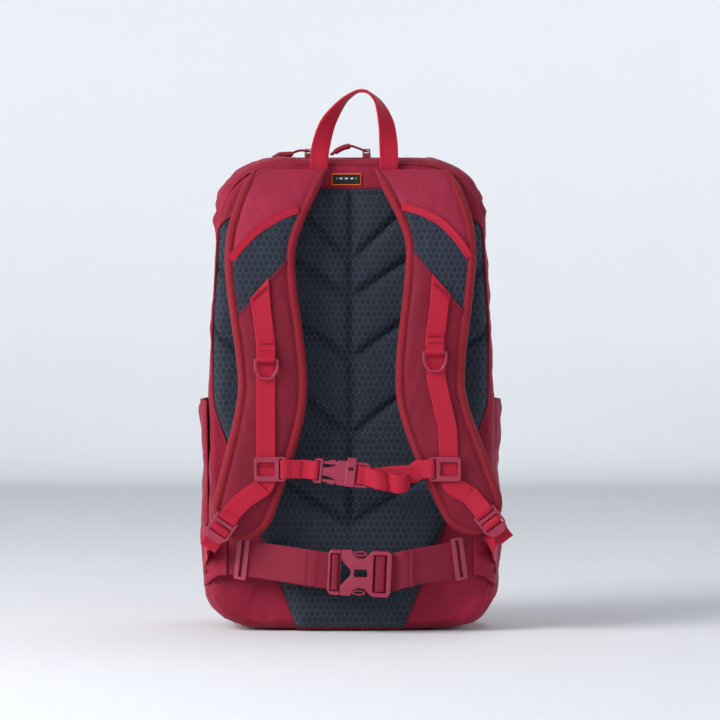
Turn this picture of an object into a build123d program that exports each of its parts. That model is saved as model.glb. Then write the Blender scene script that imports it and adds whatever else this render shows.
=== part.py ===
from build123d import *
import os
from math import cos, radians, sin

# Daypack with a zipped front cover, padded shoulder straps, a sternum strap and a hip belt.
# Millimetres, +Z up. The harness side faces -Y. The origin is on the ground, under the middle.

os.makedirs("parts", exist_ok=True)

# ---------------------------------------------------------------- driving dimensions

# Pack body
BODY_HALF = 151.0
BODY_TOP = 500.0
BODY_BOTTOM = 2.0
BACK_Y = -66.0
FRONT_Y = 92.0
WALL = 4.0
WIDEST_Z = 250.0
# Each section: y, how far the sides come in, bottom height, top height
BODY_SECTIONS = (
    (BACK_Y, 6, 12, 488),
    (-61, 2, 5, 496),
    (-52, 0, BODY_BOTTOM, BODY_TOP),
    (20, 0, BODY_BOTTOM, BODY_TOP),
    (50, 0, 3, 490),
    (76, 6, 6, 464),
    (FRONT_Y, 22, 16, 432),
)
SHOULDER_RADIUS = 60.0
BASE_RADIUS = 55.0

# Front cover, cut free along the zip and folding down about its lower edge
ZIP_Y = 14.0
COVER_Z = 246.0
CUT_GAP = 0.3

# Back pad, half of its outline from the bottom corner up to the middle of the top
PAD_OUTLINE = ((54, 14), (98, 107), (129, 193), (145, 240), (146, 315), (139, 428), (104, 456), (50, 468))
PAD_THICK = 14.0
PAD_EDGE = 5.0

# Shoulder straps: middle line in the front view, from the top down, and half widths along it
STRAP_PATH = {
    "left": ((-57, 500), (-85, 440), (-95, 388), (-83, 292), (-82, 243), (-98, 178), (-121, 103)),
    "right": ((57, 500), (85, 445), (95, 396), (84, 292), (86, 240), (112, 170), (139, 110)),
}
STRAP_HALF = (37, 36.5, 36, 35.5, 35.5, 34, 31)
STRAP_RADII = (110, 90, 240, 160, 220)
STRAP_TOP = 488.0
BINDING = 5.0
# Side view of the straps' middle surface, from the top down, and the radius of each bend
BAND_PATH = ((-72, 492), (-96, 462), (-112, 400), (-113, 330), (-110, 140), (-98, 92))
BAND_RADII = (60, 200, 600, 100)

# Webbing: thickness, narrow width for harness and handle, wide width for the hip belt
WEB_THICK = 1.6
WEB_NARROW = 20.0
WEB_WIDE = 38.0
LOOP_CLEAR = 0.2
# Distance from the straps' middle surface to the middle of the webbing that lies on them
WEB_OUT = 10.0
STRAP_WEB_PATH = {
    "left": ((-95, 362), (-88, 304), (-88, 157), (-112, 142), (-127.6, 122.2)),
    "right": ((95, 366), (88, 306), (91, 262), (103, 230), (103, 158), (128, 145), (139.1, 128.9)),
}
STRAP_WEB_RADII = {"left": (60, 12, 60), "right": (80, 40, 30, 12, 40)}

# Ladder locks: middle of the plate, and lean from upright
LOCK_CENTRE = {"left": (-134, -117.5, 113), "right": (146, -119.5, 120)}
LOCK_LEAN = {"left": 34.5, "right": -37.8}
LOCK_THICK = 4.0
LOCK_BAR_V = 11.2

# D-rings: x of the middle and z of the bar
D_RING = {"left": (-87.5, 288), "right": (88, 296)}
D_RING_OUT = 14.2
D_RING_WIRE = 1.4

# Sternum strap
STERNUM_Z = 174.0
STERNUM_SLIDER_X = {"left": -88, "right": 103}
STERNUM_CENTRE = (-4.7, -123.4, 169.5)
STERNUM_TILT = 6.0

# Hip belt: buckle middle and the path of the left half, whose mirror image is the right half
HIP_CENTRE = (9.5, -113.5, 65.0)
HIP_TILT = 2.5
BELT_START = (139, -76, 81)
BELT_BEND = (124, -84, 80)
BELT_REACH = {"left": (-50, -110, 71), "right": (66, -107, 71)}
KEEPER_X = 113.0

# Zips
TAPE = 1.0
TAPE_WIDE = {"shell": (3.0, ZIP_Y - CUT_GAP), "cover": (ZIP_Y + CUT_GAP, 20.0)}
SLIDER_X = {"left": -45.0, "right": 17.0}
SLIDER_CLEAR = 0.3
SLIDER_SIZE = (9.0, 10.0, 4.6)
SLIDER_STEP = 1.7
PULL_AXIS_UP = 6.8
POCKET_ZIP_Z = 184.0
POCKET_FRONT_Y = 119.5


# ---------------------------------------------------------------- helpers

def save(part, name):
    """Label a finished piece and write it under the same name."""
    part.label = name
    export_step(part, f"parts/{name}.step")


def mirrored(points):
    """A closed outline from its right half: the given points, then their mirror image going back."""
    return list(points) + [(-x, y) for x, y in reversed(points)]


def beside(path, distances):
    """A flat path moved to its left by a distance at each point, with mitred corners."""
    moved = []
    for index, point in enumerate(path):
        before = Vector(*path[max(index - 1, 0)])
        here = Vector(*point)
        after = Vector(*path[min(index + 1, len(path) - 1)])
        arriving = here - before if index else after - here
        leaving = after - here if index < len(path) - 1 else arriving
        side_in = arriving.normalized().rotate(Axis.Z, 90)
        side_out = leaving.normalized().rotate(Axis.Z, 90)
        mitre = (side_in + side_out) / (1 + side_in.dot(side_out))
        shifted = here + mitre * distances[index]
        moved.append((shifted.X, shifted.Y))
    return moved


def body_outline(half, bottom, top):
    """Front outline of the pack: straight base, sides widest at half height, square shoulders."""
    FilletPolyline(
        *mirrored(((half - 2, bottom), (half, WIDEST_Z), (half - 13, top))),
        radius=[BASE_RADIUS, 400, SHOULDER_RADIUS, SHOULDER_RADIUS, 400, BASE_RADIUS],
        close=True,
    )


def body_solid(inset):
    """The whole pack body as a ruled solid, shrunk all round by an inset."""
    with BuildPart() as body:
        for y, side, bottom, top in BODY_SECTIONS:
            shrunk_y = y + inset if y < 0 else y - inset
            with BuildSketch(Plane.XZ.offset(-shrunk_y)):
                with BuildLine():
                    body_outline(BODY_HALF - side - inset, bottom + inset, top - inset)
                make_face()
        loft(ruled=True)
    return body.part


def ribbon(points, acrosses, widths, thick):
    """A flat band through points, lying along the given across directions, with straight spans."""
    with BuildPart() as band:
        for index, point in enumerate(points):
            before = Vector(*points[max(index - 1, 0)])
            after = Vector(*points[min(index + 1, len(points) - 1)])
            along = (after - before).normalized()
            across = Vector(*acrosses[index])
            across = (across - along * across.dot(along)).normalized()
            with BuildSketch(Plane(origin=point, x_dir=across, z_dir=along)):
                Rectangle(widths[index], thick)
        loft(ruled=True)
    return band.part


def web_loop(plane, bar_wide, bar_thick, width):
    """Webbing wrapped closely round a bar that runs along the plane's y direction."""
    inner = (bar_wide + 2 * LOOP_CLEAR, bar_thick + 2 * LOOP_CLEAR)
    with BuildPart() as loop:
        with BuildSketch(Plane(origin=plane.origin, x_dir=plane.x_dir, z_dir=-plane.y_dir)):
            RectangleRounded(inner[0] + 2 * WEB_THICK, inner[1] + 2 * WEB_THICK, WEB_THICK + LOOP_CLEAR)
            RectangleRounded(*inner, LOOP_CLEAR, mode=Mode.SUBTRACT)
        extrude(amount=width / 2, both=True)
    return loop.part


# ---------------------------------------------------------------- pack body and front cover

outer_body = body_solid(0)
inner_body = body_solid(WALL)
with BuildPart() as main_shell:
    add(outer_body)
    add(inner_body, mode=Mode.SUBTRACT)
    with Locations((0, ZIP_Y - CUT_GAP, COVER_Z)):
        Box(400, 200, 400, align=(Align.CENTER, Align.MIN, Align.MIN), mode=Mode.SUBTRACT)
save(main_shell.part, "main_shell")

with BuildPart() as front_cover:
    add(outer_body)
    add(inner_body, mode=Mode.SUBTRACT)
    with Locations((0, ZIP_Y + CUT_GAP, COVER_Z + CUT_GAP)):
        Box(400, 200, 400, align=(Align.CENTER, Align.MIN, Align.MIN), mode=Mode.INTERSECT)
save(front_cover.part, "front_cover")

# Hard-wearing patch under the base, the face that the pack stands on
with BuildPart() as base_panel:
    with BuildSketch():
        RectangleRounded(184, 98, 20)
    extrude(amount=BODY_BOTTOM)
save(base_panel.part, "base_panel")

with BuildPart() as back_pad:
    with BuildSketch(Plane.XZ.offset(-BACK_Y)):
        with BuildLine():
            FilletPolyline(
                *mirrored(PAD_OUTLINE),
                radius=[12, 60, 60, 60, 60, 18, 40, 60, 60, 40, 18, 60, 60, 60, 60, 12],
                close=True,
            )
        make_face()
    extrude(amount=PAD_THICK)
    fillet(back_pad.faces().sort_by(Axis.Y)[0].edges(), PAD_EDGE)
save(back_pad.part, "back_pad")

# Stiffener that lies against the inside of the back
with BuildPart() as frame_sheet:
    with BuildSketch(Plane.XZ.offset(-BACK_Y - WALL)):
        with Locations((0, 245)):
            RectangleRounded(220, 410, 30)
    extrude(amount=-2)
save(frame_sheet.part, "frame_sheet")

# Open-topped sleeve for a water bag, in front of the stiffener
SLEEVE_Y = BACK_Y + WALL + 2
with BuildPart() as hydration_sleeve:
    with BuildSketch(Plane.XZ.offset(-SLEEVE_Y)):
        with Locations((0, 270)):
            RectangleRounded(190, 260, 18)
    extrude(amount=-12)
    with BuildSketch(Plane.XZ.offset(-SLEEVE_Y - 1.5)):
        with Locations((0, 310)):
            Rectangle(186, 336)
    extrude(amount=-9, mode=Mode.SUBTRACT)
save(hydration_sleeve.part, "hydration_sleeve")

# ---------------------------------------------------------------- pockets

SIDE_POCKET_OUT = 8.5
SIDE_POCKET_WALL = 2.0
SIDE_POCKET_Y = (-46.0, 54.0)
SIDE_POCKET_Z = (12.0, 243.0)
SIDE_POCKET_FLOOR = 48.0

for side, name in ((-1, "left"), (1, "right")):
    inner_out = SIDE_POCKET_OUT - SIDE_POCKET_WALL
    with BuildPart() as side_pocket:
        with BuildSketch(Plane.XZ.offset(-SIDE_POCKET_Y[1])):
            with BuildLine():
                body_outline(BODY_HALF + SIDE_POCKET_OUT, BODY_BOTTOM, BODY_TOP)
            make_face()
            with BuildLine():
                body_outline(BODY_HALF, BODY_BOTTOM, BODY_TOP)
            make_face(mode=Mode.SUBTRACT)
            with Locations((side * 150, sum(SIDE_POCKET_Z) / 2)):
                Rectangle(70, SIDE_POCKET_Z[1] - SIDE_POCKET_Z[0], mode=Mode.INTERSECT)
        extrude(amount=SIDE_POCKET_Y[1] - SIDE_POCKET_Y[0])
        with BuildSketch(Plane.XZ.offset(-SIDE_POCKET_Y[1] + SIDE_POCKET_WALL)):
            with BuildLine():
                body_outline(BODY_HALF + inner_out, BODY_BOTTOM, BODY_TOP)
            make_face()
            with Locations((side * 150, SIDE_POCKET_FLOOR + 150)):
                Rectangle(100, 300, mode=Mode.INTERSECT)
        extrude(amount=SIDE_POCKET_Y[1] - SIDE_POCKET_Y[0] - 2 * SIDE_POCKET_WALL, mode=Mode.SUBTRACT)
    save(side_pocket.part, f"side_pocket_{name}")

# Front pocket, sewn on below the cover. Each section: y, half width, bottom, top
POCKET_SECTIONS = ((FRONT_Y, 118, 20, 222), (107, 115, 23, 219), (POCKET_FRONT_Y, 98, 38, 204))


with BuildPart() as front_pocket:
    for y, half, bottom, top in POCKET_SECTIONS:
        with BuildSketch(Plane.XZ.offset(-y)):
            with Locations((0, (bottom + top) / 2)):
                RectangleRounded(2 * half, top - bottom, 28)
    loft(ruled=True)
    with BuildSketch(Plane.XZ.offset(-FRONT_Y)):
        with Locations((0, 121)):
            RectangleRounded(190, 150, 20)
    extrude(amount=FRONT_Y - POCKET_FRONT_Y + 3, mode=Mode.SUBTRACT)
save(front_pocket.part, "front_pocket")

with BuildPart() as pocket_zip_tape:
    with BuildSketch(Plane.XZ.offset(-POCKET_FRONT_Y)):
        with Locations((0, POCKET_ZIP_Z)):
            RectangleRounded(160, 12, 2)
    extrude(amount=-TAPE)
save(pocket_zip_tape.part, "pocket_zip_tape")

# ---------------------------------------------------------------- zips

for name, (near_y, far_y) in TAPE_WIDE.items():
    with BuildPart() as zip_tape:
        with BuildSketch(Plane.XZ.offset(-far_y)):
            with BuildLine():
                body_outline(BODY_HALF + TAPE, BODY_BOTTOM - TAPE, BODY_TOP + TAPE)
            make_face()
            with BuildLine():
                body_outline(BODY_HALF, BODY_BOTTOM, BODY_TOP)
            make_face(mode=Mode.SUBTRACT)
            with Locations((0, COVER_Z + 4 + 150)):
                Rectangle(400, 300, mode=Mode.INTERSECT)
        extrude(amount=far_y - near_y)
    save(zip_tape.part, f"zip_tape_{name}")

# A slider and its cord pull are made on a plane just clear of the zip: x is the way the pull
# points, z is away from the zip. The half over the cover's tape is raised by a step, so that the
# tape can lift past it as the cover opens.
SLIDER_PLANES = {
    "main_{}_left": Plane((SLIDER_X["left"], ZIP_Y, BODY_TOP + TAPE + SLIDER_CLEAR), (-1, 0, 0), (0, 0, 1)),
    "main_{}_right": Plane((SLIDER_X["right"], ZIP_Y, BODY_TOP + TAPE + SLIDER_CLEAR), (-1, 0, 0), (0, 0, 1)),
    "pocket_{}": Plane((-60, POCKET_FRONT_Y + TAPE + SLIDER_CLEAR, POCKET_ZIP_Z), (0, 0, -1), (0, 1, 0)),
}
BRIDGE_HALF = 1.5
CORD_R = 1.0
PULL_LOOP = 14.0
PULL_GRIP = (18.0, 3.2)

for pattern, plane in SLIDER_PLANES.items():
    length, breadth, height = SLIDER_SIZE
    with BuildPart() as slider:
        with BuildSketch(plane):
            RectangleRounded(length, breadth, 2)
        extrude(amount=height)
        with BuildSketch(plane):
            with Locations((0, -breadth / 2)):
                Rectangle(length, breadth)
        extrude(amount=SLIDER_STEP, mode=Mode.SUBTRACT)
        with BuildSketch(Plane(plane.origin, plane.x_dir, -plane.y_dir)):
            with Locations((0, PULL_AXIS_UP)):
                RectangleRounded(8.4, 5.8, 1.5)
                RectangleRounded(4.4, 3.8, 0.8, mode=Mode.SUBTRACT)
        extrude(amount=BRIDGE_HALF, both=True)
    save(slider.part, pattern.format("slider"))

    grip_length, grip_r = PULL_GRIP
    axis = plane.offset(PULL_AXIS_UP)
    with BuildPart() as pull:
        with BuildSketch(axis.offset(-CORD_R)):
            with Locations((PULL_LOOP / 2 + 2.6, 0)):
                SlotCenterToCenter(PULL_LOOP, 6.4)
                SlotCenterToCenter(PULL_LOOP, 4.0, mode=Mode.SUBTRACT)
        extrude(amount=2 * CORD_R)
        with BuildSketch(Plane(axis.origin, axis.y_dir, axis.x_dir).offset(17)):
            Ellipse(grip_r + 0.9, grip_r)
        extrude(amount=grip_length)
        chamfer(pull.faces().sort_by(Axis(tuple(axis.origin), tuple(axis.x_dir)))[-1].edges(), 1.0)
    save(pull.part, pattern.format("pull"))

# ---------------------------------------------------------------- handle and label

# Loop of webbing, flat to the back where it is sewn in and turned edge on at its top.
# Each point: x, z, and how far the webbing has turned.
HANDLE_Y = -70.0
HANDLE_PATH = ((-33, 492.5, 0), (-31, 510, 8), (-22, 535, 35), (-5, 560, 70), (12, 570.5, 90),
               (27, 560, 70), (37, 535, 35), (40, 512, 8), (40, 494.5, 0))
handle_points = [(x, HANDLE_Y, z) for x, z, turn in HANDLE_PATH]
handle_across = [(cos(radians(turn)), sin(radians(turn)), 0) for x, z, turn in HANDLE_PATH]
save(ribbon(handle_points, handle_across, [WEB_NARROW - 1] * len(HANDLE_PATH), 2.4), "grab_handle")

with BuildPart() as label_patch:
    with BuildSketch(Plane.XZ.offset(-BACK_Y)):
        with Locations((-4.3, 476.7)):
            RectangleRounded(31.5, 12.5, 1)
    extrude(amount=1)
save(label_patch.part, "label_patch")

# ---------------------------------------------------------------- shoulder straps

def strap_outline(name, inset):
    """Front outline of a strap, shrunk by an inset. It ends in a round toe and runs out at the top."""
    path = list(STRAP_PATH[name])
    toe_way = (Vector(*path[-2]) - Vector(*path[-1])).normalized()
    toe_end = Vector(*path[-1]) + toe_way * inset
    path[-1] = (toe_end.X, toe_end.Y)
    near = beside(path, [half - inset for half in STRAP_HALF])
    far = beside(path, [inset - half for half in STRAP_HALF])
    toe = STRAP_HALF[-1] - inset - 1
    near_radii = [radius for radius in STRAP_RADII] + [toe]
    FilletPolyline(
        *near, *reversed(far),
        radius=[1, *near_radii, *reversed(near_radii), 1],
        close=True,
    )


def band_face(near, far):
    """Side view of a layer, between two distances outward from the straps' middle surface."""
    count = len(BAND_PATH)
    inner = FilletPolyline(*beside(BAND_PATH, [-near] * count), radius=[r + near for r in BAND_RADII])
    outer = FilletPolyline(*beside(BAND_PATH, [-far] * count), radius=[r + far for r in BAND_RADII])
    Line(inner @ 0, outer @ 0)
    Line(inner @ 1, outer @ 1)


def strap_layer(name, near, far, inset, hole_inset=None):
    """One layer of a strap: its front outline cut out of a bent sheet."""
    with BuildPart() as layer:
        with BuildSketch(Plane.XZ.offset(160)):
            with BuildLine():
                strap_outline(name, inset)
            make_face()
            if hole_inset is not None:
                with BuildLine():
                    strap_outline(name, hole_inset)
                make_face(mode=Mode.SUBTRACT)
            with Locations((0, STRAP_TOP - 250)):
                Rectangle(500, 500, mode=Mode.INTERSECT)
        extrude(amount=-120)
        with BuildSketch(Plane.YZ):
            with BuildLine():
                band_face(near, far)
            make_face()
        extrude(amount=200, both=True, mode=Mode.INTERSECT)
    return layer.part


def lock_plane(name):
    """Plane of a ladder lock: x across it, y up along it, z outward."""
    lean = radians(LOCK_LEAN[name])
    return Plane(LOCK_CENTRE[name], x_dir=(cos(lean), 0, -sin(lean)), z_dir=(0, -1, 0))


def band_y(z, out):
    """Depth of the straps' straight lower run at a height, moved outward by a distance."""
    (y_top, z_top), (y_low, z_low) = BAND_PATH[3], BAND_PATH[4]
    return y_low + (y_top - y_low) * (z - z_low) / (z_top - z_low) - out


for name in ("left", "right"):
    save(strap_layer(name, -5.2, -4.0, BINDING), f"strap_lining_{name}")
    save(strap_layer(name, -4.0, 5.0, BINDING), f"strap_foam_{name}")
    save(strap_layer(name, 5.0, 6.2, BINDING), f"strap_cover_{name}")
    save(strap_layer(name, -5.6, 6.6, 0, hole_inset=BINDING), f"strap_binding_{name}")

    plane = lock_plane(name)
    bar = Plane(plane.from_local_coords((0, LOCK_BAR_V, 0)), plane.y_dir, plane.x_dir)
    web_half = WEB_NARROW / 2
    path = STRAP_WEB_PATH[name]
    radii = STRAP_WEB_RADII[name]
    with BuildPart() as strap_webbing:
        with BuildSketch(Plane.XZ.offset(160)):
            with BuildLine():
                near = FilletPolyline(*beside(path, [web_half] * len(path)), radius=list(radii))
                far = FilletPolyline(*beside(path, [-web_half] * len(path)), radius=list(radii))
                Line(near @ 0, far @ 0)
                Line(near @ 1, far @ 1)
            make_face()
        extrude(amount=-120)
        with BuildSketch(Plane.YZ):
            with BuildLine():
                band_face(WEB_OUT - WEB_THICK / 2, WEB_OUT + WEB_THICK / 2)
            make_face()
        extrude(amount=200, both=True, mode=Mode.INTERSECT)
        with BuildSketch(bar):
            Circle(3.1)
        extrude(amount=9.4, both=True)
        with BuildSketch(bar):
            Circle(1.9)
        extrude(amount=12, both=True, mode=Mode.SUBTRACT)
    save(strap_webbing.part, f"strap_webbing_{name}")

    with BuildPart() as ladder_lock:
        with BuildSketch(plane.offset(-LOCK_THICK / 2)):
            with BuildLine():
                FilletPolyline(
                    *mirrored(((6.5, -17), (12.8, -9), (12.8, 11.5), (10.4, 13.2), (10.4, 6.4))),
                    radius=[5, 5, 2, 0.6, 1.2, 1.2, 0.6, 2, 5, 5],
                    close=True,
                )
            make_face()
            with Locations((0, 0.8), (0, -6.6)):
                RectangleRounded(20.6, 3.4, 0.8, mode=Mode.SUBTRACT)
        extrude(amount=LOCK_THICK)
        with BuildSketch(bar):
            Circle(1.6)
        extrude(amount=11.5, both=True)
    save(ladder_lock.part, f"ladder_lock_{name}")

# Lower webs, from behind each ladder lock back to a wing on the side of the pack
for side, name in ((-1, "left"), (1, "right")):
    plane = lock_plane(name)
    start = plane.from_local_coords((0, 3, -LOCK_THICK / 2 - 2.2))
    bend = plane.from_local_coords((0, -12, -LOCK_THICK / 2 - 3.5))
    route = (start, bend, Vector(side * 148, -88, 90), Vector(side * 152.6, -64, 80), Vector(side * 152.9, -50, 78))
    acrosses = (plane.x_dir, plane.x_dir, Vector(0.55, 0, side * 0.83), Vector(0, 0, side), Vector(0, 0, side))
    web = ribbon(
        [tuple(point) for point in route],
        [tuple(across) for across in acrosses],
        [WEB_NARROW - 2] * len(route),
        WEB_THICK,
    )
    save(web, f"lower_web_{name}")

    with BuildPart() as strap_wing:
        with BuildSketch(Plane.YZ.offset(side * 151.2)):
            with BuildLine():
                FilletPolyline((-60, 96), (-60, 64), (-48, 58), (-48, 100), radius=3, close=True)
            make_face()
        extrude(amount=0.5, both=True)
    save(strap_wing.part, f"strap_wing_{name}")

# D-rings, each hanging in a short loop of webbing sewn over the strap's webbing
for name, (ring_x, ring_z) in D_RING.items():
    ring_y = band_y(ring_z, D_RING_OUT)
    with BuildPart() as d_ring_loop:
        with BuildSketch(Plane.YZ.offset(ring_x)):
            with Locations((ring_y, ring_z)):
                Circle(2.9)
            with Locations((ring_y + 1.65, ring_z + 6)):
                Rectangle(2.4, 12)
            with Locations((ring_y, ring_z)):
                Circle(1.7, mode=Mode.SUBTRACT)
        extrude(amount=9, both=True)
    save(d_ring_loop.part, f"d_ring_loop_{name}")

    with BuildPart() as d_ring:
        with BuildSketch(Plane.XZ.offset(-ring_y - D_RING_WIRE)):
            with BuildLine():
                FilletPolyline(
                    *[(ring_x + u, ring_z + v) for u, v in mirrored(((7, -21), (12.6, -12), (13.2, 1.4)))],
                    radius=[9, 8, 2.5, 2.5, 8, 9],
                    close=True,
                )
            make_face()
            with BuildLine():
                FilletPolyline(
                    *[(ring_x + u, ring_z + v) for u, v in mirrored(((5.6, -18.2), (9.8, -11), (10.4, -1.4)))],
                    radius=[7, 6, 1, 1, 6, 7],
                    close=True,
                )
            make_face(mode=Mode.SUBTRACT)
        extrude(amount=2 * D_RING_WIRE)
        fillet(d_ring.edges().filter_by(lambda edge: abs(edge.tangent_at(0.5).Y) < 0.5), 1.0)
    save(d_ring.part, f"d_ring_{name}")

# ---------------------------------------------------------------- side-release buckles

def bars_plate(plane, outline, radii, holes, thick, thinned):
    """A moulded plate from an outline, with webbing slots and thinned bars.

    Holes are given as u, v, width, height. A thinned stretch is u from, u to, half height, and the
    depths behind and in front of the middle between which material stays.
    """
    with BuildPart() as plate:
        with BuildSketch(plane.offset(-thick / 2)):
            with BuildLine():
                FilletPolyline(*outline, radius=radii, close=True)
            make_face()
        extrude(amount=thick)
        chamfer(plate.faces().sort_by(Axis.Y)[0].edges(), 0.5)
        with BuildSketch(plane.offset(-thick / 2)):
            for u, v, width, height in holes:
                with Locations((u, v)):
                    RectangleRounded(width, height, 0.7)
        extrude(amount=thick, mode=Mode.SUBTRACT)
        for u_from, u_to, half_height, behind, before in thinned:
            for level, depth in ((-behind, -thick), (before, thick)):
                with BuildSketch(plane.offset(level)):
                    with Locations(((u_from + u_to) / 2, 0)):
                        Rectangle(u_to - u_from, 2 * half_height)
                extrude(amount=depth, mode=Mode.SUBTRACT)
    return plate.part


def hollowed(plate, plane, outline, thick):
    """A plate with a flat cavity inside it."""
    with BuildPart() as body:
        add(plate)
        with BuildSketch(plane.offset(-thick / 2)):
            with BuildLine():
                Polyline(*outline, close=True)
            make_face()
        extrude(amount=thick, mode=Mode.SUBTRACT)
    return body.part


def prong(plane, outline, thick, hole=None):
    """A springy arm of a male half, optionally with a finger groove through its pad."""
    with BuildPart() as arm:
        with BuildSketch(plane.offset(-thick / 2)):
            with BuildLine():
                Polyline(*outline, close=True)
            make_face()
            if hole:
                u, v, width, height = hole
                with Locations((u, v)):
                    RectangleRounded(width, height, height / 2.2, mode=Mode.SUBTRACT)
        extrude(amount=thick)
    return arm.part


def tilted_plane(centre, tilt):
    """A buckle's plane, facing the wearer and turned down towards +X."""
    return Plane(centre, x_dir=(cos(radians(tilt)), 0, -sin(radians(tilt))), z_dir=(0, -1, 0))


def flipped(outline, side):
    """An outline as it is for the upper arm, or mirrored for the lower one."""
    return [(u, side * v) for u, v in outline]


# Hip buckle: 38 mm webbing
hip = tilted_plane(HIP_CENTRE, HIP_TILT)
hip_male = bars_plate(
    hip,
    [(-20.0, 23.8), (-30.5, 23.8), (-33.2, 19), (-33.2, -19), (-30.5, -23.8), (-20.0, -23.8)],
    [0.8, 4, 3, 3, 4, 0.8],
    [(-29.3, 0, 2.6, 39.6), (-21.9, 0, 2.6, 39.6)],
    9.0,
    [(-28.2, -23.0, 19.8, 2.2, 2.2), (-34, -30.4, 19.8, 1.5, 9)],
)
save(hip_male, "hip_buckle_male")

HIP_FEMALE_UPPER = ((-19.5, 13.6), (-19.5, 24), (-8.4, 24), (-7, 18.5), (-2, 15.8), (5, 15.8), (13.5, 24),
                    (30, 24), (33.2, 20))
hip_female_outline = [*HIP_FEMALE_UPPER, *[(u, -v) for u, v in reversed(HIP_FEMALE_UPPER)], (-9.2, -2.6), (-9.2, 2.6)]
hip_female_plate = bars_plate(
    hip,
    hip_female_outline,
    [1, 2, 1.2, 3, 5, 5, 5, 3, 3, 3, 3, 5, 5, 5, 3, 1.2, 2, 1, 3, 3],
    [(1.2, 0, 13.6, 7.6), (15.4, 0, 2.6, 39.6), (26.9, 0, 2.6, 39.6)],
    11.0,
    [(16.5, 25.8, 19.8, 2.2, 2.2), (28, 34, 19.8, 1.2, 11)],
)
HIP_CAVITY_UPPER = ((-20, 22.2), (-8, 22.2), (-8, 30), (10, 30), (10, 5.2), (-20, 5.2))
HIP_CAVITY_THICK = 6.6
upper_hollowed = hollowed(hip_female_plate, hip, HIP_CAVITY_UPPER, HIP_CAVITY_THICK)
save(
    hollowed(upper_hollowed, hip, flipped(HIP_CAVITY_UPPER, -1), HIP_CAVITY_THICK),
    "hip_buckle_female",
)
HIP_PRONG = ((-18.8, 17.2), (-19.7, 18.7), (-19.7, 19.7), (-18.8, 21.2), (-8.4, 21.6), (-8, 21.9), (-6, 22.3), (-4, 22.7), (-2, 23.1),
             (0.5, 23.5), (4, 22.9), (7.6, 20.6), (7.6, 19.8), (3, 17.4), (-3, 17.2), (-8.4, 17.8))
for side, name in ((1, "upper"), (-1, "lower")):
    arm = prong(hip, flipped(HIP_PRONG, side), 6.0, hole=(0, side * 20.4, 9, 2.0))
    save(arm, f"hip_prong_{name}")

# Sternum buckle: 20 mm webbing, with a whistle in its female half
sternum = tilted_plane(STERNUM_CENTRE, STERNUM_TILT)
sternum_male = bars_plate(
    sternum,
    [(-24.7, 13), (-32, 13), (-34, 10.5), (-34, -10.5), (-32, -13), (-24.7, -13)],
    [0.8, 2, 2, 2, 2, 0.8],
    [(-28.9, 0, 3.2, 20.8)],
    5.0,
    [(-35, -30.4, 10.4, 1.6, 1.6)],
)
save(sternum_male, "sternum_buckle_male")

STERNUM_FEMALE_UPPER = ((-24.2, 4.2), (-17, 5.0), (-10, 8.0), (-9, 13), (22, 13.2), (25.4, 9))
sternum_plate = bars_plate(
    sternum,
    [*STERNUM_FEMALE_UPPER, *[(u, -v) for u, v in reversed(STERNUM_FEMALE_UPPER)]],
    [0.8, 6, 3, 2, 4, 4, 4, 4, 2, 3, 6, 0.8],
    [(11.4, 0, 2.6, 21), (19.8, 0, 2.6, 21)],
    7.0,
    [(12.6, 18.6, 10.5, 1.6, 1.6), (21, 26, 10.5, 0.8, 7)],
)
STERNUM_CAVITY_UPPER = ((-25, 2.0), (-25, 11.6), (-5.5, 11.6), (-5.5, 12.4), (0, 12.4), (0, 2.0))
hollow_plate = hollowed(
    hollowed(sternum_plate, sternum, STERNUM_CAVITY_UPPER, 4.2), sternum, flipped(STERNUM_CAVITY_UPPER, -1), 4.2
)
with BuildPart() as sternum_female:
    add(hollow_plate)
    with BuildSketch(sternum.offset(-4)):
        with Locations((5, 1.8)):
            RectangleRounded(9.6, 30.4, 1.6)
    extrude(amount=8.6)
    with BuildSketch(sternum.offset(4.6)):
        with Locations((5, 5.2)):
            RectangleRounded(6, 3, 0.8)
    extrude(amount=-6, mode=Mode.SUBTRACT)
    with BuildSketch(Plane(sternum.from_local_coords((5, 17.1, 0.4)), sternum.x_dir, sternum.y_dir)):
        RectangleRounded(5.6, 4.6, 1)
    extrude(amount=-9, mode=Mode.SUBTRACT)
save(sternum_female.part, "sternum_buckle_female")

STERNUM_PRONG = ((-24.1, 8.0), (-24.4, 8.6), (-24.4, 10.0), (-24.1, 10.6), (-20, 10.8), (-17, 12.4), (-14, 12.9), (-11, 12.2), (-9.6, 11.2),
                 (-5.2, 11.2), (-3.2, 12.0), (-1.2, 10.6), (-1.2, 9.4), (-5, 8.4), (-12, 7.8))
for side, name in ((1, "upper"), (-1, "lower")):
    save(prong(sternum, flipped(STERNUM_PRONG, side), 3.6), f"sternum_prong_{name}")

# ---------------------------------------------------------------- sternum strap

band_along = Vector(0, BAND_PATH[3][0] - BAND_PATH[4][0], BAND_PATH[3][1] - BAND_PATH[4][1]).normalized()
band_out = Vector(0, -band_along.Z, band_along.Y)
SLIDER_FRAME = (-12.2, 21.6)
SLIDER_GAP = 0.5
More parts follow.
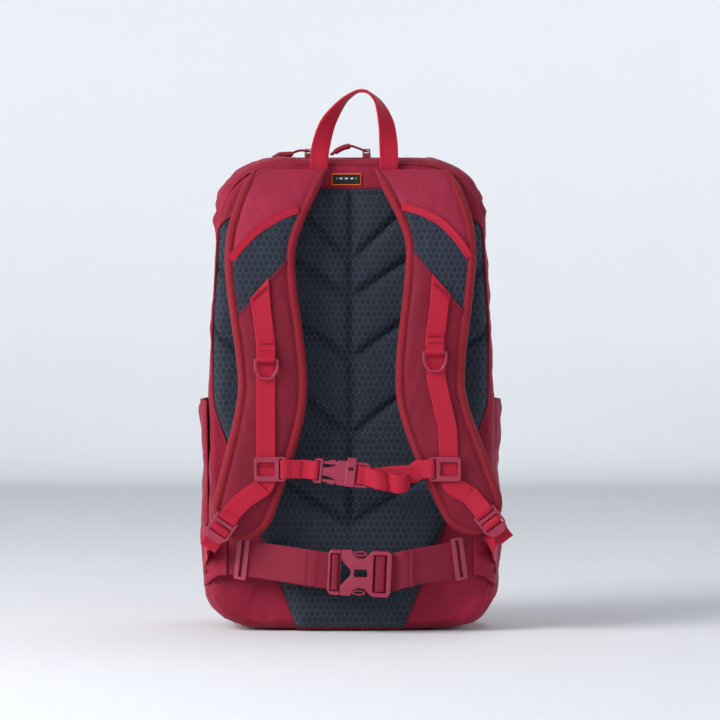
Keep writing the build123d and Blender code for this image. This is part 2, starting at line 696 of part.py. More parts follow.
# Buckle bar for each half of the webbing: its place and width along the buckle, then where the
# webbing clears the frame, along the buckle and outward
STERNUM_BUCKLE_BAR = {"left": (-32.2, 3.6, -36.0, -2.5), "right": (15.6, 6.0, 26.0, -2.5)}
STERNUM_ACROSS = [tuple(sternum.y_dir)] * 2
frame_mid = (SLIDER_FRAME[0] + SLIDER_FRAME[1]) / 2
face_near = WEB_THICK / 2 + SLIDER_GAP
for side, name in ((1, "left"), (-1, "right")):
    centre = (STERNUM_SLIDER_X[name], band_y(STERNUM_Z, WEB_OUT), STERNUM_Z)
    plane = Plane(centre, x_dir=(side, 0, 0), z_dir=tuple(band_out))
    with BuildPart() as sternum_slider:
        with BuildSketch(plane.offset(face_near)):
            with Locations((frame_mid, 0)):
                RectangleRounded(SLIDER_FRAME[1] - SLIDER_FRAME[0], 26, 4)
            RectangleRounded(18.4, 14, 1.5, mode=Mode.SUBTRACT)
            with Locations((15.6, 0)):
                RectangleRounded(3.4, 21, 1, mode=Mode.SUBTRACT)
        extrude(amount=2.6)
        chamfer(sternum_slider.faces().sort_by(Axis.Y)[0].edges(), 0.5)
        with BuildSketch(plane.offset(-face_near)):
            Rectangle(24.4, 9)
        extrude(amount=-1.6)
        with BuildSketch(plane.offset(face_near + 0.2)):
            with Locations((-11.5, 0), (11.5, 0)):
                Rectangle(1.4, 9)
        extrude(amount=-2 * face_near - 0.4)
    save(sternum_slider.part, f"sternum_slider_{name}")

    bar_plane = Plane(plane.offset(face_near + 1.3).from_local_coords((19.45, 0, 0)), plane.x_dir, plane.z_dir)
    bar_u, bar_wide, leave_u, leave_w = STERNUM_BUCKLE_BAR[name]
    buckle_bar = Plane(sternum.from_local_coords((bar_u, 0, 0)), sternum.x_dir, sternum.z_dir)
    route = (
        bar_plane.from_local_coords((3.6, 0, 0)),
        sternum.from_local_coords((leave_u + side * -1.5, 0, leave_w)),
        sternum.from_local_coords((bar_u, 0, leave_w)),
    )
    strip = ribbon([tuple(point) for point in route], [(0, 0, 1), *STERNUM_ACROSS], [WEB_NARROW - 1] * 3, WEB_THICK)
    with BuildPart() as sternum_web:
        add(strip)
        add(web_loop(bar_plane, 4.3, 2.6, WEB_NARROW - 1))
        add(web_loop(buckle_bar, bar_wide, 3.2, WEB_NARROW - 1))
    save(sternum_web.part, f"sternum_web_{name}")

# Free end of the sternum webbing, hanging slack in front of the right half
TAIL_PATH = ((19, -129.0, 160), (30, -129.6, 156), (46, -129.6, 156), (62, -127.4, 163))
save(ribbon(TAIL_PATH, [(0, 0, 1)] * 4, [WEB_NARROW - 1] * 4, WEB_THICK), "sternum_web_tail")

# ---------------------------------------------------------------- hip belt

HIP_BUCKLE_BAR = {"left": (-25.6, 4.8), "right": (21.2, 9.0)}
for side, name in ((-1, "left"), (1, "right")):
    start = (side * BELT_START[0], BELT_START[1], BELT_START[2])
    bend = (side * BELT_BEND[0], BELT_BEND[1], BELT_BEND[2])
    reach = BELT_REACH[name]
    bar_u, bar_wide = HIP_BUCKLE_BAR[name]
    buckle_bar = Plane(hip.from_local_coords((bar_u, 0, 0)), hip.x_dir, hip.z_dir)
    clear_of_frame = hip.from_local_coords((side * 36, 0, -3.3))
    entry = hip.from_local_coords((bar_u, 0, -3.3))
    route = [start, bend, reach, tuple(clear_of_frame), tuple(entry)]
    upright = [(0, 0, 1)] * 3 + [tuple(hip.y_dir)] * 2
    strip = ribbon(route, upright, [WEB_WIDE] * len(route), WEB_THICK)
    with BuildPart() as hip_web:
        add(strip)
        add(web_loop(buckle_bar, bar_wide, 4.4, WEB_WIDE))
    save(hip_web.part, f"hip_web_{name}")

    along = (Vector(*reach) - Vector(*bend)).normalized()
    outward = Vector(along.Y, -along.X, 0).normalized() * -side
    keeper_at = Vector(*bend) + along * ((BELT_BEND[0] - KEEPER_X) / abs(along.X))
    keeper_plane = Plane(tuple(keeper_at), tuple(along), tuple(outward))
    with BuildPart() as hip_keeper:
        with BuildSketch(keeper_plane.offset(1.4)):
            RectangleRounded(14, 45, 2.5)
            Rectangle(3.4, 39, mode=Mode.SUBTRACT)
        extrude(amount=2.2)
        with BuildSketch(keeper_plane.offset(-1.4)):
            RectangleRounded(7, 45, 2.5)
        extrude(amount=-2.0)
        with BuildSketch(keeper_plane.offset(-1.6)):
            with Locations((0, 21.2), (0, -21.2)):
                Rectangle(7, 2.4)
        extrude(amount=3.2)
    save(hip_keeper.part, f"hip_keeper_{name}")

    wing = ribbon(
        [(side * 146.5, -66.5, 81), (side * 140.5, -74.6, 81)], [(0, 0, 1)] * 2, [54, 40], 2.4
    )
    save(wing, f"hip_wing_{name}")
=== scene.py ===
import math

import bmesh
import bpy
import numpy as np
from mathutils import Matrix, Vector


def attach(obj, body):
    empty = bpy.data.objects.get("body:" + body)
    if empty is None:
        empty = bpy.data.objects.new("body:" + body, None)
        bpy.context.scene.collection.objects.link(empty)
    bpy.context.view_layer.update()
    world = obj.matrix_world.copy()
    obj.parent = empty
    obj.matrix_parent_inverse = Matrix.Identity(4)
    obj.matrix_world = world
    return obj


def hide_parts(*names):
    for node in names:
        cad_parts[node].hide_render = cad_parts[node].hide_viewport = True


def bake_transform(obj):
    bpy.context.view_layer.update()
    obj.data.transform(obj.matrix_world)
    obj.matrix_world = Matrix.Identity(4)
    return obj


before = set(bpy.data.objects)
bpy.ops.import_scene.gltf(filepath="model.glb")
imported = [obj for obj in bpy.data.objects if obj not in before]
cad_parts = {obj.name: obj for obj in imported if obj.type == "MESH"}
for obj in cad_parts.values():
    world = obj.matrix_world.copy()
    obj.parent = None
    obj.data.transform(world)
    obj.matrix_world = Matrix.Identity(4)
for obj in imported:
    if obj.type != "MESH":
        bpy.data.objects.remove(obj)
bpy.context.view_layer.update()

# Working units are millimetres; make() turns them into metres.
M = 0.001
rad = math.radians
SIDES = {"left": -1, "right": 1}


# ---- camera, light, floor

def look(obj, target):
    way = Vector(target) - obj.location
    obj.rotation_euler = way.to_track_quat("-Z", "Y").to_euler()


# The frame is FRAME_WIDE metres across at the harness, which lies HARNESS_OUT in front of the middle
MID_X, MID_Z, CAMERA_RISE = 0.010, 0.285, 0.10
DISTANCE, HARNESS_OUT, FRAME_WIDE, SENSOR = 4.6, 0.06, 0.7596, 36
camera = bpy.data.objects.new("camera", bpy.data.cameras.new("camera"))
bpy.context.scene.collection.objects.link(camera)
camera.data.sensor_width = SENSOR
camera.data.lens = SENSOR * (DISTANCE - HARNESS_OUT) / FRAME_WIDE
camera.data.clip_end = 50
camera.location = (MID_X, -DISTANCE, MID_Z + CAMERA_RISE)
look(camera, (MID_X, 0, MID_Z))
bpy.context.scene.camera = camera


def lamp(name, place, target, size, power, colour):
    data = bpy.data.lights.new(name, "AREA")
    data.shape = "RECTANGLE"
    data.size, data.size_y = size
    data.energy = power
    data.color = colour
    obj = bpy.data.objects.new(name, data)
    bpy.context.scene.collection.objects.link(obj)
    obj.location = place
    look(obj, target)


COOL = (0.97, 0.985, 1.0)
lamp("key", (-2.4, -1.9, 1.85), (0, 0, 0.25), (1.8, 1.6), 104, (1.0, 0.992, 0.985))
lamp("side", (-2.6, -0.9, 0.9), (0, 0, 0.3), (1.2, 1.6), 20, (0.95, 0.98, 1.0))
lamp("top", (0.9, 0.9, 2.4), (0.4, 0.1, 0), (1.4, 1.2), 8, COOL)
lamp("fill", (2.4, -2.4, 1.0), (0, 0, 0.3), (2.0, 1.8), 10, (0.93, 0.96, 1.0))
# A ring of lamps lights the sweep, so that the backdrop is pale from every side
RING_LAMPS, RING_RADIUS, RING_HEIGHT, AIM_RADIUS, AIM_HEIGHT = 6, 2.4, 2.2, 6.7, 3.0
SKY, SKY_STRENGTH = (0.90, 0.94, 1.0, 1), 0.27
for k in range(RING_LAMPS):
    turn = rad(360 / RING_LAMPS * (k + 0.5))
    out = Vector((math.cos(turn), math.sin(turn), 0))
    place = out * RING_RADIUS + Vector((0, 0, RING_HEIGHT))
    lamp(f"backdrop_{k}", place, out * AIM_RADIUS + Vector((0, 0, AIM_HEIGHT)), (1.4, 1.0), 64, COOL)
world = bpy.data.worlds.new("studio")
bpy.context.scene.world = world
world.use_nodes = True
sky = world.node_tree.nodes["Background"].inputs
sky[0].default_value = SKY
sky[1].default_value = SKY_STRENGTH
# Standard keeps the saturated reds
bpy.context.scene.view_settings.view_transform = "Standard"


# ---- curves

def unit(v):
    return v / np.maximum(np.linalg.norm(v, axis=-1, keepdims=True), 1e-9)


def catmull(points, per):
    p = np.array(points, float)
    ext = np.vstack([2 * p[0] - p[1], p, 2 * p[-1] - p[-2]])
    out = []
    t = np.linspace(0, 1, per, endpoint=False)[:, None]
    for a, b, c, d in zip(ext, ext[1:], ext[2:], ext[3:]):
        square, cube = 2 * a - 5 * b + 4 * c - d, 3 * b - 3 * c + d - a
        out.append(0.5 * (2 * b + (c - a) * t + square * t ** 2 + cube * t ** 3))
    return np.vstack([*out, p[-1:]])


def lengths(path):
    return np.concatenate([[0], np.cumsum(np.linalg.norm(np.diff(path, axis=0), axis=1))])


def sample(path, along, at):
    """The rows of a path at distances along it."""
    return np.stack([np.interp(at, along, path[:, k]) for k in range(path.shape[1])], 1)


def even(path, count):
    path = np.asarray(path, float)
    along = lengths(path)
    return sample(path, along, np.linspace(0, along[-1], count))


def closed_even(path, count):
    """Evenly spaced points round a loop, without its first point again at the end."""
    return even(np.vstack([path, path[:1]]), count + 1)[:-1]


def eased(path, times):
    """A path with its inner points averaged with their neighbours."""
    for _ in range(times):
        path[1:-1] = (path[:-2] + 2 * path[1:-1] + path[2:]) / 4
    return path


def upright(flat, depth):
    """Front-view points set up at a depth."""
    flat = np.asarray(flat, float)
    return np.column_stack([flat[:, 0], np.broadcast_to(np.asarray(depth, float), len(flat)), flat[:, 1]])


def bell(value, width):
    return np.exp(-(value / width) ** 2)


WAVES = 6
STRAIGHT = 1.565  # half the angle between two edges that need no arc, in radians


def rounded(points, radii, closed=False, steps=10):
    """A flat polyline with its corners turned into arcs."""
    p = np.array(points, float)
    out = []
    for i in range(len(p)):
        if not closed and i in (0, len(p) - 1):
            out.append(p[i])
            continue
        here, before, after = p[i], p[i - 1], p[(i + 1) % len(p)]
        a, b = unit(before - here), unit(after - here)
        half = math.acos(np.clip(a @ b, -1, 1)) / 2
        if half > STRAIGHT:
            out.append(here)
            continue
        longest = 0.499 * min(np.linalg.norm(before - here), np.linalg.norm(after - here))
        reach = min(radii[i if closed else i - 1] / math.tan(half), longest)
        start, end = here + a * reach, here + b * reach
        for t in np.linspace(0, 1, steps):
            out.append((1 - t) ** 2 * start + 2 * t * (1 - t) * here + t ** 2 * end)
    return np.array(out)


def ripple(p, size, seed):
    """Smooth seeded noise from warped waves, about -1 to 1, at points in millimetres."""
    rng = np.random.default_rng(seed)
    total = np.zeros(len(p))
    for _ in range(WAVES):
        k = unit(rng.normal(size=3)) * 2 * math.pi / (size * rng.uniform(0.7, 1.5))
        k2 = unit(rng.normal(size=3)) * 2 * math.pi / (size * 2.3)
        total += np.sin(p @ k + rng.uniform(0, 6.28) + 1.7 * np.sin(p @ k2 + rng.uniform(0, 6.28)))
    return total / math.sqrt(WAVES) * 0.8


def nearest(p, line):
    """Distance of points to a polyline."""
    best = np.full(len(p), 1e9)
    for a, b in zip(line, line[1:]):
        way = b - a
        t = np.clip(((p - a) @ way) / max(way @ way, 1e-9), 0, 1)
        best = np.minimum(best, np.linalg.norm(p - a - t[:, None] * way, axis=1))
    return best


# ---- meshes

def link(name, mesh):
    """A smooth-shaded object of a mesh."""
    mesh.polygons.foreach_set("use_smooth", [True] * len(mesh.polygons))
    mesh.update()
    obj = bpy.data.objects.new(name, mesh)
    bpy.context.scene.collection.objects.link(obj)
    return obj


def make(name, verts, faces, lay=None):
    """A mesh object; lay holds each point's place along and across a tape, for its weave."""
    mesh = bpy.data.meshes.new(name)
    mesh.from_pydata((np.asarray(verts, float) * M).tolist(), [], [tuple(int(i) for i in f) for f in faces])
    if lay is not None:
        attribute = mesh.attributes.new("lay", "FLOAT_VECTOR", "POINT")
        attribute.data.foreach_set("vector", (np.asarray(lay, float) * M).ravel())
    return link(name, mesh)


def rework(obj, change):
    """Runs a change on an object's bmesh."""
    bm = bmesh.new()
    bm.from_mesh(obj.data)
    change(bm)
    bm.to_mesh(obj.data)
    bm.free()
    return obj


def everything(bm):
    return [*bm.verts, *bm.edges, *bm.faces]


def fix_normals(obj):
    return rework(obj, lambda bm: bmesh.ops.recalc_face_normals(bm, faces=bm.faces))


def grid_faces(rows, cols, wrap_rows, wrap_cols):
    r = np.arange(rows if wrap_rows else rows - 1)
    c = np.arange(cols if wrap_cols else cols - 1)
    r, c = np.meshgrid(r, c, indexing="ij")
    r2, c2 = (r + 1) % rows, (c + 1) % cols
    quads = np.stack([r * cols + c, r * cols + c2, r2 * cols + c2, r2 * cols + c], -1)
    return quads.reshape(-1, 4).tolist()


def sheet_mesh(name, grid, wrap_cols=False):
    grid = np.asarray(grid, float)
    rows, cols = grid.shape[:2]
    return make(name, grid.reshape(-1, 3), grid_faces(rows, cols, False, wrap_cols))


def caps(rows, cols):
    """The faces that close the first and the last ring of a stack."""
    return [list(range(cols))[::-1], list(range((rows - 1) * cols, rows * cols))]


def stack_mesh(name, rings, ends):
    """Closed rings joined one to the next, with faces for the ends."""
    rings = np.asarray(rings, float)
    rows, cols = rings.shape[:2]
    return fix_normals(make(name, rings.reshape(-1, 3), grid_faces(rows, cols, False, True) + ends))


def sweep(name, path, across, rings, closed=False):
    """A closed ring of (sideways, outward) offsets carried along a path. One ring, or one a row."""
    path = np.asarray(path, float)
    count = len(path)
    across = np.broadcast_to(np.asarray(across, float), path.shape)
    along = unit(np.roll(path, -1, 0) - np.roll(path, 1, 0) if closed else np.gradient(path, axis=0))
    side = unit(across - along * np.sum(across * along, 1, keepdims=True))
    out = np.cross(side, along)
    rings = np.asarray(rings, float)
    if rings.ndim == 2:
        rings = np.broadcast_to(rings, (count, *rings.shape))
    k = rings.shape[1]
    verts = path[:, None] + side[:, None] * rings[..., :1] + out[:, None] * rings[..., 1:]
    lay = np.zeros_like(verts)
    lay[..., 0] = lengths(path)[:, None]
    lay[..., 1:] = rings
    faces = grid_faces(count, k, closed, True)
    if not closed:
        faces += caps(count, k)
    return fix_normals(make(name, verts.reshape(-1, 3), faces, lay.reshape(-1, 3)))


def band_ring(width, thick):
    """Cross-section of woven tape: thin, with slightly raised selvedges."""
    t = thick / 2
    v = np.array([-0.5, -0.485, -0.45, -0.3, -0.1, 0.1, 0.3, 0.45, 0.485, 0.5]) * width
    n = np.array([0.35, 0.95, 1.12, 0.96, 1.0, 1.0, 0.96, 1.12, 0.95, 0.35]) * t
    return np.vstack([np.stack([v, n], 1), np.stack([v[::-1], -n[::-1]], 1)])


def round_ring(a, b, sides):
    angle = np.linspace(0, 2 * math.pi, sides, endpoint=False)
    return np.stack([a * np.cos(angle), b * np.sin(angle)], 1)


def strap(name, points, across, width, thick, per):
    """Tape through points, each with its own across direction."""
    points = np.array(points, float)
    across = np.broadcast_to(np.array(across, float), points.shape)
    both = catmull(np.hstack([points, across]), per)
    return sweep(name, both[:, :3], unit(both[:, 3:]), band_ring(width, thick))


def tube(name, points, radius, sides=8, closed=False):
    points = np.asarray(points, float)
    way = np.gradient(points, axis=0)
    guess = np.array([0.13, 0.21, 0.97]) if abs(unit(way.mean(0))[2]) < 0.9 else np.array([0.97, 0.2, 0.1])
    return sweep(name, points, guess, round_ring(radius, radius, sides), closed)


# For each body: its stitches' points, their faces and the count of points
threads = {}


def sew(body, points, out, pitch=3.0, length=2.1, radius=0.3):
    """Stitches along a path, lying on the surface whose outward direction is given."""
    points = np.asarray(points, float)
    out = np.broadcast_to(np.asarray(out, float), points.shape)
    along = lengths(points)
    count = max(int(along[-1] / pitch), 1)
    mids = (np.arange(count) + 0.5) * along[-1] / count
    at = sample(np.hstack([points, out]), along, mids)
    way = unit(sample(points, along, mids + 0.4) - sample(points, along, mids - 0.4))
    n = unit(at[:, 3:])
    side = unit(np.cross(way, n)) * radius * 1.3
    c = at[:, :3] + n * 0.15
    tip = way * length / 2
    ends = [c - tip - n * 0.2, c + tip - n * 0.2]
    six = np.stack([*ends, c + side, c - side, c + n * radius, c - n * radius], 1)
    store = threads.setdefault(body, [[], [], 0])
    store[0].append(six.reshape(-1, 3))
    order = ((0, 2, 4), (0, 4, 3), (0, 3, 5), (0, 5, 2), (1, 4, 2), (1, 3, 4), (1, 5, 3), (1, 2, 5))
    for i in range(count):
        store[1].extend([tuple(store[2] + 6 * i + k for k in f) for f in order])
    store[2] += 6 * count


def tack(body, centre, along, across, out, length, width):
    """A bar tack: a short dense block of thread."""
    centre, along, across = (np.array(v, float) for v in (centre, along, across))
    for row in np.arange(-width / 2, width / 2 + 0.01, 0.75):
        line = [centre + across * row - along * length / 2, centre + across * row + along * length / 2]
        sew(body, line, out, pitch=1.6, length=1.9, radius=0.33)


class Flat:
    """A plane: u across, v up it, w outward."""

    def __init__(self, origin, x_dir, z_dir):
        self.o = np.array(origin, float)
        self.x = unit(np.array(x_dir, float))
        self.z = unit(np.array(z_dir, float))
        self.y = np.cross(self.z, self.x)

    def at(self, u, v, w=0):
        return self.o + self.x * u + self.y * v + self.z * w


def leaning(origin, angle):
    """A plane that faces the harness side, with u turned down by an angle in degrees."""
    return Flat(origin, (math.cos(rad(angle)), 0, -math.sin(rad(angle))), (0, -1, 0))


# ---- materials

class Net:
    """A procedural material: a Principled shader with nodes added by name."""

    def __init__(self, name, rough, sheen=0.0, coat=0.0, metal=0.0):
        self.mat = bpy.data.materials.new(name)
        self.mat.use_nodes = True
        self.tree = self.mat.node_tree
        self.shader = self.tree.nodes["Principled BSDF"]
        self.put("Roughness", rough)
        self.put("Metallic", metal)
        self.put("Sheen Weight", sheen)
        self.put("Sheen Roughness", 0.45)
        if rough > 0.45:
            self.put("Specular IOR Level", 0.22)
        self.put("Coat Weight", coat)
        self.put("Coat Roughness", 0.25)
        self.point = self.add("ShaderNodeTexCoord").outputs["Object"]

    def feed(self, socket, value):
        if isinstance(value, bpy.types.NodeSocket):
            self.tree.links.new(value, socket)
        else:
            socket.default_value = value

    def put(self, name, value):
        self.feed(self.shader.inputs[name], value)

    def add(self, kind, inputs=(), **props):
        node = self.tree.nodes.new(kind)
        for key, value in props.items():
            setattr(node, key, value)
        for key, value in dict(inputs).items():
            self.feed(node.inputs[key], value)
        return node

    def math(self, op, *values):
        return self.add("ShaderNodeMath", enumerate(values), operation=op).outputs[0]

    def plus(self, a, b):
        return self.math("ADD", a, b)

    def minus(self, a, b):
        return self.math("SUBTRACT", a, b)

    def times(self, a, b):
        return self.math("MULTIPLY", a, b)

    def size(self, value):
        return self.math("ABSOLUTE", value)

    def dot(self, vector, way):
        node = self.add("ShaderNodeVectorMath", {0: vector, 1: way}, operation="DOT_PRODUCT")
        return node.outputs["Value"]

    def lay(self):
        return self.add("ShaderNodeAttribute", attribute_name="lay").outputs["Vector"]

    def noise(self, scale, detail, rough=0.5, warp=0.0):
        inputs = {"Vector": self.point, "Scale": scale, "Detail": detail, "Roughness": rough,
                  "Distortion": warp}
        return self.add("ShaderNodeTexNoise", inputs).outputs["Fac"]

    def mix(self, factor, a, b):
        node = self.add("ShaderNodeMix", {0: factor}, data_type="RGBA")
        for socket, value in ((6, a), (7, b)):
            self.feed(node.inputs[socket], (*value, 1) if isinstance(value, tuple) else value)
        return node.outputs[2]

    def step(self, value, low, high):
        inputs = {0: value, 1: low, 2: high, 3: 0.0, 4: 1.0}
        return self.add("ShaderNodeMapRange", inputs, interpolation_type="SMOOTHSTEP").outputs[0]

    def bump(self, height, distance, strength, under=None):
        inputs = {"Height": height, "Distance": distance, "Strength": strength}
        if under is not None:
            inputs["Normal"] = under
        return self.add("ShaderNodeBump", inputs).outputs[0]

    def cells(self, wide, tall):
        """Honeycomb: 0 in the middle of a cell and 0.5 on its edge."""
        u = self.dot(self.point, (1 / (wide * M), 0, 0))
        v = self.dot(self.point, (0, 0, 1 / (tall * M)))
        pair = []
        for shift in (0.0, 0.5):
            x, y = (self.minus(self.math("FRACT", self.plus(c, shift)), 0.5) for c in (u, v))
            x, y = self.size(x), self.size(self.times(y, 1.732))
            slant = self.plus(self.times(x, 0.5), self.times(y, 0.866))
            pair.append(self.math("MAXIMUM", slant, x))
        return self.math("MINIMUM", *pair)

    def weave(self, pitch, ways=((1, 0.83, 0), (-0.15, 0.35, 1))):
        k = math.pi / (pitch * M)
        return self.times(*(self.math("SINE", self.dot(self.point, shade(way, k))) for way in ways))


def shade(colour, by):
    return tuple(c * by for c in colour)


def fabric(name, colour, pitch=0.62, rough=0.62, crease=1.0):
    net = Net(name, rough, 0.10)
    net.put("Sheen Tint", (1.0, 0.35, 0.45, 1))
    weave = net.weave(pitch)
    cloudy = net.noise(22, 4, 0.55)
    fine = net.noise(420, 2)
    base = net.mix(net.step(cloudy, 0.3, 0.75), shade(colour, 0.88), shade(colour, 1.12))
    base = net.mix(net.times(net.step(weave, -0.9, 0.9), 0.5), base, shade(colour, 0.66))
    base = net.mix(net.times(net.step(fine, 0.45, 0.7), 0.12), base, shade(colour, 1.35))
    net.put("Base Color", base)
    net.put("Roughness", net.plus(rough - 0.06, net.times(cloudy, 0.14)))
    soft = net.bump(net.noise(38, 5, 0.55, warp=0.6), 0.0022 * crease, 0.8)
    pucker = net.bump(net.noise(150, 3, 0.5), 0.00035 * crease, 0.6, soft)
    net.put("Normal", net.bump(weave, 0.00009, 0.9, pucker))
    return net.mat


def hexed(name, dark, line, wide, tall):
    """Spacer mesh with a honeycomb knitted over it."""
    net = Net(name, 0.66, 0.12)
    net.put("Sheen Tint", (0.75, 0.85, 1.0, 1))
    cell = net.cells(wide, tall)
    wobble = net.noise(240, 2)
    ridge = net.step(net.plus(cell, net.times(wobble, 0.05)), 0.44, 0.50)
    knit = net.weave(1.1, ((1, 0, 0.4), (-0.4, 0, 1)))
    cloudy = net.noise(20, 3)
    floor = net.mix(net.step(knit, -0.5, 0.9), shade(dark, 0.75), shade(dark, 1.3))
    floor = net.mix(net.times(cloudy, 0.3), floor, shade(dark, 1.5))
    net.put("Base Color", net.mix(net.times(ridge, 0.85), floor, line))
    soft = net.bump(net.noise(45, 4), 0.0008, 0.5)
    under = net.bump(knit, 0.00016, 0.9, soft)
    net.put("Normal", net.bump(ridge, 0.00045, 0.9, under))
    return net.mat


WEALE = 4.2


def woven_tape(name, colour, rough=0.5, pitch=1.25):
    """Herringbone tape: ribs along it every pitch, in vees WEALE apart across it."""
    net = Net(name, rough, 0.10)
    net.put("Sheen Tint", (1.0, 0.5, 0.55, 1))
    lay = net.lay()
    along = net.dot(lay, (1 / (pitch * M), 0, 0))
    over = net.dot(lay, (0, 1 / (WEALE * M), 0))
    vee = net.size(net.minus(net.math("FRACT", over), 0.5))
    phase = net.plus(along, net.times(vee, 1.6))
    rib = net.math("SINE", net.times(phase, 2 * math.pi))
    warp = net.math("SINE", net.times(over, 2 * math.pi * 5))
    cord = net.plus(net.times(rib, 0.7), net.times(warp, 0.3))
    cloudy = net.noise(60, 4)
    base = net.mix(net.step(cord, -0.9, 0.9), shade(colour, 0.72), shade(colour, 1.12))
    base = net.mix(net.times(net.step(cloudy, 0.4, 0.8), 0.25), base, shade(colour, 0.8))
    net.put("Base Color", base)
    soft = net.bump(net.noise(90, 3), 0.0004, 0.5)
    net.put("Normal", net.bump(cord, 0.00016, 0.9, soft))
    return net.mat


def moulded(name, colour, rough=0.36, coat=0.15, metal=0.0):
    net = Net(name, rough, 0.0, coat, metal)
    cloudy = net.noise(70, 4, 0.6)
    speck = net.noise(1800, 2)
    net.put("Base Color", net.mix(net.step(cloudy, 0.3, 0.75), shade(colour, 0.9), shade(colour, 1.1)))
    net.put("Roughness", net.plus(rough - 0.05, net.times(cloudy, 0.16)))
    net.put("Normal", net.bump(speck, 0.00006, 0.6, net.bump(cloudy, 0.0003, 0.3)))
    return net.mat


CRIMSON = (0.275, 0.0060, 0.0310)
BRIGHT = (0.43, 0.0036, 0.0270)
red_cloth = fabric("red_cloth", CRIMSON)
pocket_cloth = fabric("pocket_cloth", shade(CRIMSON, 0.92), pitch=0.8, crease=1.4)
# lit and shaded copies of one strap fabric: the upper panel's red is painted lighter as painted light, the
# lower panel's red is painted darker as painted shade
upper_painted_lit = fabric("strap_cloth_painted_lit", (0.30, 0.0125, 0.0430), crease=0.5)
lower_painted_shade = fabric("strap_cloth_painted_shade", (0.185, 0.0030, 0.0185), crease=0.5)
edge_tape = woven_tape("edge_tape", (0.25, 0.0060, 0.0180), 0.6, 1.0)
tape = woven_tape("harness_tape", BRIGHT)
belt_tape = woven_tape("belt_tape", (0.225, 0.0060, 0.0270), pitch=1.5)
grey_mesh = hexed("grey_mesh", (0.0098, 0.0138, 0.0250), (0.046, 0.058, 0.086), 6.2, 13.4)
lining_cloth = fabric("lining_cloth", (0.12, 0.13, 0.15), rough=0.7)
mesh_lining = hexed("mesh_lining", (0.012, 0.015, 0.02), (0.035, 0.04, 0.05), 3.2, 5.6)
crimson_plastic = moulded("crimson_plastic", (0.27, 0.0095, 0.0400))
enamel = moulded("enamel", (0.20, 0.007, 0.024), 0.28, 0.5, 0.35)
coil_plastic = moulded("coil_plastic", (0.12, 0.004, 0.012), 0.42)
thread = moulded("thread", (0.34, 0.010, 0.034), 0.55, 0.0)
grip_rubber = moulded("grip_rubber", (0.24, 0.005, 0.015), 0.5)
base_cloth = fabric("base_cloth", (0.08, 0.004, 0.010), pitch=1.4, rough=0.7, crease=0.4)


def keep(obj, mat, body, slot, *nodes):
    obj.data.materials.append(mat)
    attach(obj, body)
    if nodes:
        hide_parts(*nodes)
    return obj


def thicken(obj, thick, offset=-1.0, inside=None):
    modifier = obj.modifiers.new("cloth", "SOLIDIFY")
    modifier.thickness = thick * M
    modifier.offset = offset
    modifier.use_quality_normals = True
    if inside is not None:
        obj.data.materials.append(inside)
        modifier.material_offset = 1
    return obj


def blended(web, mat, end, node):
    """A web that reaches from one body to another and stands for a CAD node."""
    web.data.materials.append(mat)
    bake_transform(web)
    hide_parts(node)


# ---- pack body

ZIP_Y, COVER_Z, FRONT_Y, BACK_Y, HALF_WIDE = 14.0, 246.0, 92.0, -66.0, 151
# Depth, then how far the sides come in, and the heights of the base and the top
SECTIONS = np.array(((-66, 6, 12, 488), (-61, 2, 5, 496), (-52, 0, 2, 500), (20, 0, 2, 500), (50, 0, 3, 490),
                     (76, 6, 6, 464), (92, 22, 16, 432)), float)


def section(y):
    at = np.clip(y + np.linspace(-5, 5, 5), BACK_Y, FRONT_Y)
    return [np.interp(at, SECTIONS[:, 0], SECTIONS[:, k]).mean() for k in (1, 2, 3)]


def outline(half, bottom, top, count):
    """Front outline of the pack, evenly divided from the middle of its base."""
    right = [(half - 2, bottom), (half, 250), (half - 13, top)]
    corners = [(0, bottom), *right, *[(-x, z) for x, z in reversed(right)]]
    path = rounded(corners, [1, 55, 400, 73, 73, 400, 55], closed=True, steps=14)
    return closed_even(path[np.argmin(path[:14, 1] + np.abs(path[:14, 0])):], count)


AROUND = 400
BACK_INSETS = (150, 120, 90, 62, 40, 24, 12, 4)
FRONT_INSETS = (3, 7, 12, 18, 25, 33, 42, 52, 63, 75, 88, 102, 116)


def body_ring(y, depth=None, inset=0, pull=1.0):
    """The outline at a depth, drawn in by an inset, as points at y."""
    side, low, high = section(y if depth is None else depth)
    ring = outline(HALF_WIDE - side - inset * pull, low + inset, high - inset, AROUND)
    return upright(ring, y)


rings = [body_ring(BACK_Y - 0.3, BACK_Y, inset, 0.97) for inset in BACK_INSETS]
for y in (-66, -65, -63.5, -61.5, -59, -56, -52, *range(-48, 12, 4), 12, 14, 16, *range(20, 92, 4), 90.5, 92):
    rings.append(body_ring(y))
for inset in FRONT_INSETS:
    ring = body_ring(FRONT_Y, FRONT_Y, inset, 0.99)
    quiet = np.clip(np.abs(ring[:, 2] - COVER_Z) / 70, 0, 1) ** 2
    ring[:, 1] += 5.5 * quiet * (1 - math.exp(-inset / 30))
    rings.append(ring)
shell_grid = np.array(rings)
rows = len(shell_grid)
# ease the edge between the sides and the front face
start, stop = rows - len(FRONT_INSETS) - 6, rows - len(FRONT_INSETS) + 8
for _ in range(14):
    inner = shell_grid[start - 1:stop - 1] + 2 * shell_grid[start:stop] + shell_grid[start + 1:stop + 1]
    shell_grid[start:stop] = inner / 4
points = shell_grid.reshape(-1, 3)
# one face closes the back, and a strip of quads the front
faces = grid_faces(rows, AROUND, False, True)
last = (rows - 1) * AROUND
half = AROUND // 2
faces += [list(range(AROUND)), [last, last + 1, last + AROUND - 1]]
faces += [[last + i, last + i + 1, last + AROUND - i - 1, last + AROUND - i] for i in range(1, half - 1)]
faces += [[last + half - 1, last + half, last + half + 1]]
raw = fix_normals(make("raw_body", points, faces))

